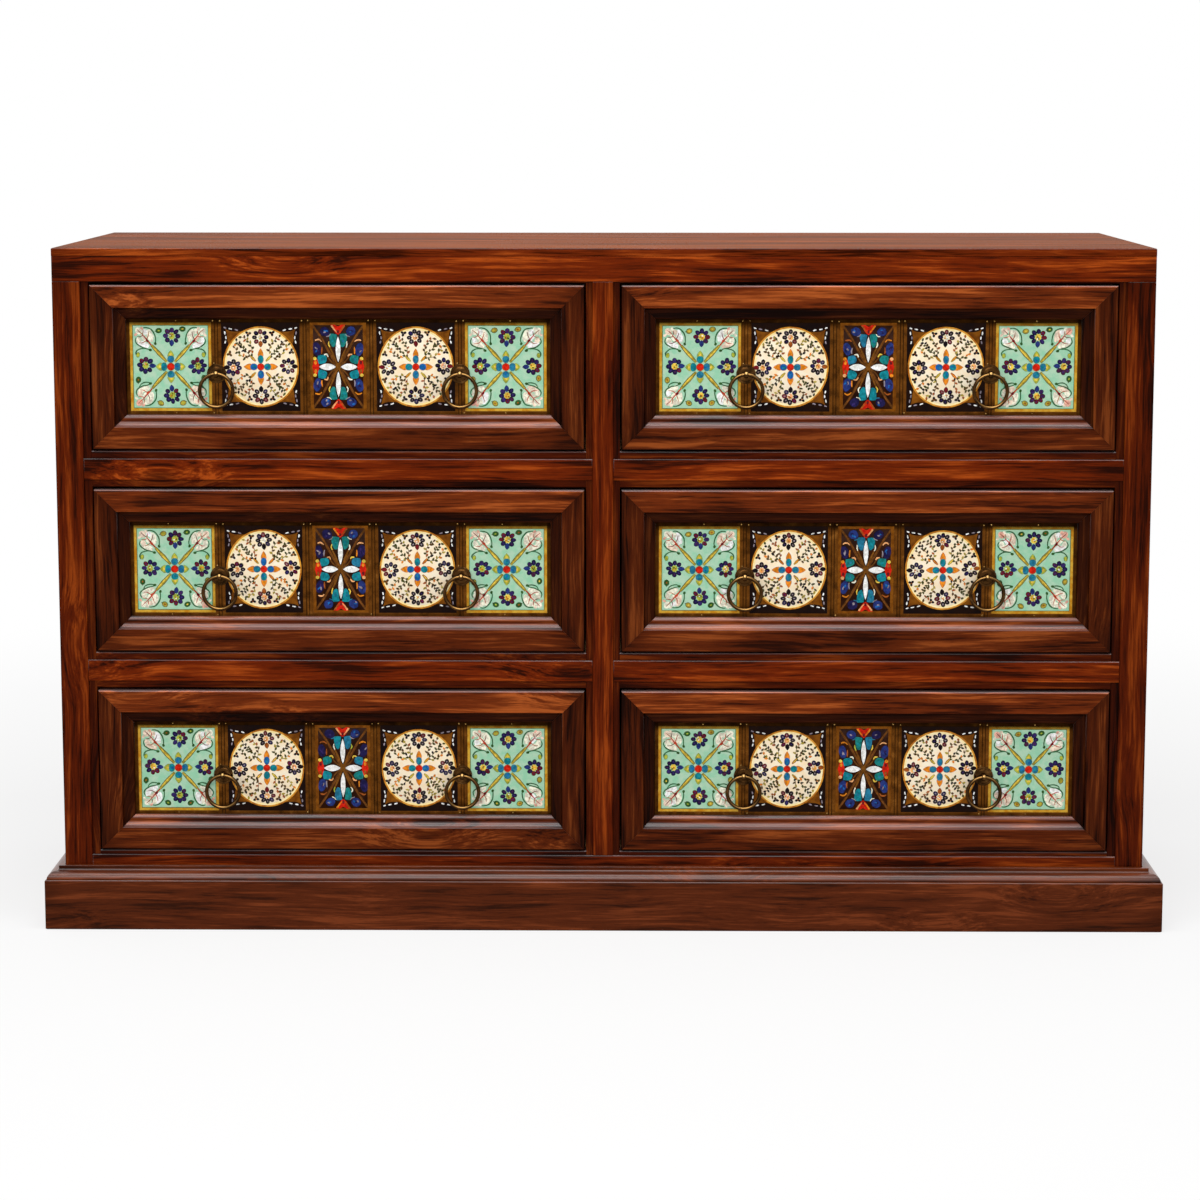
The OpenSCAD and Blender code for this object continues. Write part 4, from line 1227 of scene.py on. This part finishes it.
tileSizes = {
    "roundWidth": 103.5 * mm, "middleWidth": 74.5 * mm, "gap": 13.7 * mm, "rise": 0.2 * mm,
    "rimWidth": 3.5 * mm, "thickness": 5.0 * mm,
}
tileRims = {
    # Foot and top of the rim and of the line inside it, the line's width, and the middle tile's own rim
    "rim": (-0.5, 0.25), "line": (-0.2, 0.1), "lineWidth": 0.8, "middle": (4.3, 3.4), "edge": 0.05,
}
plateShape = {
    "rx": 50.4, "rz": 53.7, "rim": 2.1, "lemon": 2.4, "steps": 72, "arcSteps": 8, "arcFrom": 32,
    "arcOver": 31, "inside": 0.99, "spandrel": (-0.3, 0.05), "foot": -0.2, "rimTop": 0.3, "lemonTop": 0.22,
    "plateTop": 0.2, "edge": 0.02,
    "upper": [(33.0, 46.6), (41.0, 47.6), (46.4, 50.4)], "lower": [(46.4, 50.4), (44.6, 44.0), (43.8, 36.0)],
}
tileBack = -tileSizes["thickness"] / mm


def tileRow(drawer):
    # Middle and width of each tile, the middles of the strips between, and the row's own place and height
    low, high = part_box(drawer + "_tiles")
    gap, roundWidth, middleWidth = tileSizes["gap"], tileSizes["roundWidth"], tileSizes["middleWidth"]
    sideWidth = (high.x - low.x - 4 * gap - 2 * roundWidth - middleWidth) / 2
    left, tiles = low.x, []
    for width in (sideWidth, roundWidth, middleWidth, roundWidth, sideWidth):
        tiles.append((left + width / 2, width))
        left += width + gap
    strips = [
        (x + width / 2 + nextX - nextWidth / 2) / 2
        for (x, width), (nextX, nextWidth) in zip(tiles, tiles[1:])]
    return {
        "tiles": tiles, "strips": strips, "face": low.y + tileSizes["rise"], "middle": (low.z + high.z) / 2,
        "height": high.z - low.z,
    }


def layLeafTile(relief, halfWidth, halfHeight):
    rim, wide = tileSizes["rimWidth"] / mm, tileRims["lineWidth"]
    outer, inner = rectangle(halfWidth, halfHeight), rectangle(halfWidth - rim, halfHeight - rim)
    line = rectangle(halfWidth - rim - wide, halfHeight - rim - wide)
    relief.prism(outer, tileBack, 0.0, glazes["mint"], tileRims["edge"])
    relief.ring(outer, inner, *tileRims["rim"], glazes["gold"])
    relief.ring(inner, line, *tileRims["line"], enamels["line"])


def layPlateTile(relief, halfWidth, halfHeight):
    relief.prism(rectangle(halfWidth, halfHeight), tileBack, 0.0, glazes["night"], tileRims["edge"])
    look = plateShape
    rx, rz, steps, inside = look["rx"], look["rz"], look["arcSteps"], look["inside"]
    angles = [math.radians(look["arcFrom"] + look["arcOver"] * i / steps) for i in range(steps + 1)]
    arc = [(rx * math.cos(a) * inside, rz * math.sin(a) * inside) for a in angles]
    spandrel = arc + curve([arc[-1]] + look["upper"], 3)[1:] + curve(look["lower"] + [arc[0]], 3)[1:-1]
    for right, up in quarters:
        outline = flipped(spandrel, right, up)
        outline = outline if right * up > 0 else outline[::-1]
        relief.prism(outline, *look["spandrel"], glazes["umber"], look["edge"])
    insets = (0, look["rim"], look["rim"] + look["lemon"])
    outer, inner, plate = (oval((0, 0), rx - inset, rz - inset, 0, look["steps"]) for inset in insets)
    relief.ring(outer, inner, look["foot"], look["rimTop"], glazes["amber"])
    relief.ring(inner, plate, look["foot"], look["lemonTop"], glazes["lemon"])
    relief.prism(plate, look["foot"], look["plateTop"], glazes["cream"], look["edge"])


def layMiddleTile(relief, halfWidth, halfHeight):
    across, up = tileRims["middle"]
    outer, inner = rectangle(halfWidth, halfHeight), rectangle(halfWidth - across, halfHeight - up)
    relief.prism(outer, tileBack, 0.0, glazes["maroon"], tileRims["edge"])
    relief.ring(outer, inner, *tileRims["rim"], glazes["umber"])


tileMakers = [
    (layLeafTile, paintLeafTile), (layPlateTile, paintPlateCorners, paintPlateTile),
    (layMiddleTile, paintMiddleTile),
]


def markHome(mesh, drawer):
    # Where the middle of the piece's own row of tiles is
    low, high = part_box(drawer + "_tiles")
    home = mesh.attributes.new("home", "FLOAT_VECTOR", "POINT")
    home.data.foreach_set("vector", list((low + high) / 2) * len(mesh.vertices))
    return mesh


def layTiles(drawer, seed):
    row = tileRow(drawer)
    ground, art = Relief(seed), Relief(seed + 100)
    last = len(row["tiles"]) - 1
    for number, (middleX, width) in enumerate(row["tiles"]):
        lay, *paints = tileMakers[min(number, last - number)]
        ground.centre = art.centre = Vector((middleX, row["face"], row["middle"]))
        lay(ground, width / 2 / mm, row["height"] / 2 / mm)
        for paint in paints:
            paint(art)
    finishPiece(markHome(ground.mesh(drawer + "_tile_row"), drawer), drawer + "_tiles")
    finishPiece(art.mesh(drawer + "_tile_painting"), body=drawer)


for number, drawer in enumerate(drawers):
    layTiles(drawer, number)
print("tiles laid and painted")


# Brass between the tiles

brassSizes = {
    "beadWidth": 3.0 * mm, "beadRise": 0.7 * mm, "beadSteps": 6, "beadPast": 4.7 * mm, "sunk": 0.3,
    "faceReach": 0.05 * mm, "smoothAngle": 40,
}


def layBrass(drawer):
    node = drawer + "_brass_plate"
    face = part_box(node)[0].y
    mesh = smoothed(weldedCopy(node), node + "_dressed", brassSizes["smoothAngle"], brassSheet, brassGroove)
    for polygon in mesh.polygons:
        polygon.material_index = 0 if polygon.center.y < face + brassSizes["faceReach"] else 1
    finishPiece(markHome(mesh, drawer), node)


def layBeads(drawer):
    # A half-round bead up the middle of each strip
    row = tileRow(drawer)
    relief = Relief(centre=Vector((0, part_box(drawer + "_brass_plate")[0].y, row["middle"])))
    slot = relief.slot(brassSheet)
    reach = (row["height"] / 2 + brassSizes["beadPast"]) / mm
    half, steps = brassSizes["beadWidth"] / 2 / mm, brassSizes["beadSteps"]
    for strip in row["strips"]:
        lines = []
        for i in range(steps + 1):
            a = math.pi * i / steps
            across, out = -half * math.cos(a), brassSizes["beadRise"] / mm * math.sin(a)
            height = out if 0 < i < steps else -brassSizes["sunk"]
            lines.append([relief.place((strip / mm + across, end), height) for end in (-reach, reach)])
        for first, second in zip(lines, lines[1:] + lines[:1]):
            relief.add((first[0], second[0], second[1], first[1]), slot)
        relief.add([line[0] for line in lines], slot)
        relief.add([line[1] for line in lines][::-1], slot)
    finishPiece(markHome(relief.mesh(drawer + "_strip_beads"), drawer), body=drawer)


for drawer in drawers:
    layBrass(drawer)
    layBeads(drawer)
print("brass laid")


# Nails in the brass, set by a node tree

nailSizes = {
    "diameter": 2.0 * mm, "rise": 0.5, "vary": 0.25, "seed": 5, "segments": 10, "rings": 6,
    "missingLow": 0.65, "border": 2.4 * mm, "fromStrip": 4.6, "shakeAcross": 0.8, "shakeUp": 0.5,
    "endSpread": 8, "byMount": (3.6 * mm, 4.8 * mm),
}


def makeNailTree():
    # A flattened ball on every point, each of its own size
    tree, given = newGroup("nails", {
        "Geometry": "Geometry", "Diameter": nailSizes["diameter"], "Rise": nailSizes["rise"],
        "Vary": nailSizes["vary"], "Seed": nailSizes["seed"], "Metal": "Material",
    }, "GeometryNodeTree")
    radius = times(tree, given["Diameter"], 0.5)
    ball = put(tree, "GeometryNodeMeshUVSphere", {
        "Segments": nailSizes["segments"], "Rings": nailSizes["rings"], "Radius": radius})
    flat = put(tree, "ShaderNodeCombineXYZ", {0: 1.0, 1: given["Rise"], 2: 1.0})
    head = put(tree, "GeometryNodeTransform", {"Geometry": ball.outputs["Mesh"], "Scale": flat.outputs[0]})
    size = put(tree, "FunctionNodeRandomValue", {
        2: maths(tree, "SUBTRACT", 1.0, given["Vary"]), 3: maths(tree, "ADD", 1.0, given["Vary"]),
        "Seed": given["Seed"]}, data_type="FLOAT")
    heads = put(tree, "GeometryNodeInstanceOnPoints", {
        "Points": given["Geometry"], "Instance": head.outputs[0], "Scale": size.outputs[1]})
    real = put(tree, "GeometryNodeRealizeInstances", {0: heads.outputs[0]})
    smooth = put(tree, "GeometryNodeSetShadeSmooth", {"Geometry": real.outputs[0]})
    shown = put(tree, "GeometryNodeSetMaterial", {"Geometry": smooth.outputs[0], "Material": given["Metal"]})
    return closeGroup(tree, {"Geometry": shown.outputs[0]})


nailTree = makeNailTree()


def nailPlaces(row, draw):
    # Two at each end of each strip, though fewer are left below, one past each outer tile, one by each pull
    places = []
    border = row["height"] / 2 + nailSizes["border"]
    beside, high = nailSizes["shakeAcross"], nailSizes["shakeUp"]
    for strip in row["strips"]:
        for end in (-1, 1):
            for side in (-1, 1):
                if end < 0 and draw.random() < nailSizes["missingLow"]:
                    continue
                across = side * nailSizes["fromStrip"] + draw.uniform(-beside, beside)
                places.append((strip + across * mm, end * border + draw.uniform(-high, high) * mm))
    tiles, spread = row["tiles"], nailSizes["endSpread"]
    for x, _ in (tiles[0], tiles[-1]):
        for end in (-1, 1):
            places.append((x + draw.uniform(-spread, spread) * mm, end * border))
    for side in (-1, 1):
        mount = tiles[2][0] + side * (
            tileSizes["middleWidth"] / 2 + 1.5 * tileSizes["gap"] + tileSizes["roundWidth"])
        places.append((mount - nailSizes["byMount"][0], nailSizes["byMount"][1]))
    return places


def driveNails(drawer, seed):
    row = tileRow(drawer)
    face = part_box(drawer + "_brass_plate")[0].y
    mesh = bpy.data.meshes.new(drawer + "_nail_places")
    points = [(x, face, row["middle"] + z) for x, z in nailPlaces(row, random.Random(seed))]
    mesh.from_pydata(points, [], [])
    holder = newObject(mesh.name, mesh)
    modifier = holder.modifiers.new("nails", "NODES")
    modifier.node_group = nailTree
    sockets = {item.name: item.identifier for item in nailTree.interface.items_tree if item.in_out == "INPUT"}
    modifier[sockets["Seed"]] = seed
    modifier[sockets["Metal"]] = brassNail
    bpy.context.view_layer.update()
    evaluated = holder.evaluated_get(bpy.context.evaluated_depsgraph_get())
    heads = bpy.data.meshes.new_from_object(evaluated)
    heads.name = drawer + "_nails"
    bpy.data.objects.remove(holder)
    finishPiece(heads, body=drawer)


for number, drawer in enumerate(drawers):
    driveNails(drawer, number)
print("nails driven")


# Floor, light and camera

stageSizes = {
    "floor": 60.0, "white": 0.93, "rough": 0.9,
    # From where to where the floor glows, how much there and beyond, and the light all round
    "glow": (0.9, 2.4, 0.72, 1.0), "worldLight": 0.52,
}


def makeStage():
    half, white = stageSizes["floor"] / 2, stageSizes["white"]
    mesh = bpy.data.meshes.new("studioFloor")
    mesh.from_pydata([(x, y, 0) for x, y in rectangle(half, half)], [], [(0, 1, 2, 3)])
    floor = newObject("studioFloor", mesh)
    material, tree, shader = newMaterial("studioFloor", {
        "Base Color": (white, white, white, 1), "Roughness": stageSizes["rough"], "Specular IOR Level": 0.0})
    reach = put(tree, "ShaderNodeVectorMath", {0: objectPlace(tree)}, operation="LENGTH").outputs["Value"]
    glow = put(tree, "ShaderNodeEmission", {"Color": (1, 1, 1, 1), "Strength": 1.0})
    share = times(tree, seenStraight(tree), between(tree, reach, *stageSizes["glow"]))
    mixed = put(tree, "ShaderNodeMixShader", {0: share, 1: shader.outputs[0], 2: glow.outputs[0]})
    tree.links.new(mixed.outputs[0], tree.nodes["Material Output"].inputs["Surface"])
    mesh.materials.append(material)


def makeWorld():
    world = bpy.data.worlds.new("studio")
    bpy.context.scene.world = world
    world.use_nodes = True
    tree = world.node_tree
    background = tree.nodes["Background"].inputs
    level = between(tree, seenStraight(tree), 0.0, 1.0, stageSizes["worldLight"], 1.0)
    tree.links.new(level, background["Strength"])
    background["Color"].default_value = (1, 1, 1, 1)


lamps = {
    "overheadSoftbox": {"at": (0.0, -0.75, 2.75), "to": (0.0, -0.3, 0.6), "size": (2.8, 1.0), "watts": 32},
    "frontSoftbox": {"at": (-0.3, -3.0, 2.6), "to": (0.0, 0.0, 0.5), "size": (2.4, 1.6), "watts": 42},
}


def makeLamps():
    for name, lamp in lamps.items():
        light = bpy.data.lights.new(name, "AREA")
        light.shape = "RECTANGLE"
        light.size, light.size_y = lamp["size"]
        light.energy = lamp["watts"]
        holder = newObject(name, light)
        holder.location = lamp["at"]
        aim = Vector(lamp["to"]) - Vector(lamp["at"])
        holder.rotation_euler = aim.to_track_quat("-Z", "Y").to_euler()


cameraSizes = {
    "at": (0.031, -3.842, 1.102), "pitch": 7.0, "yaw": 0.55, "focalPixels": 2763, "picture": 1200,
    "sensor": 36.0, "shift": -0.13,
}


def makeCamera():
    camera = bpy.data.cameras.new("photoCamera")
    camera.sensor_width = cameraSizes["sensor"]
    camera.lens = cameraSizes["focalPixels"] / cameraSizes["picture"] * cameraSizes["sensor"]
    camera.shift_y = cameraSizes["shift"]
    holder = newObject("photoCamera", camera)
    holder.location = cameraSizes["at"]
    holder.rotation_euler = (math.radians(90 - cameraSizes["pitch"]), 0, math.radians(cameraSizes["yaw"]))
    bpy.context.scene.camera = holder


makeStage()
makeWorld()
makeLamps()
makeCamera()
bpy.context.scene.view_settings.view_transform = "Standard"
print("stage, lamps and camera set")
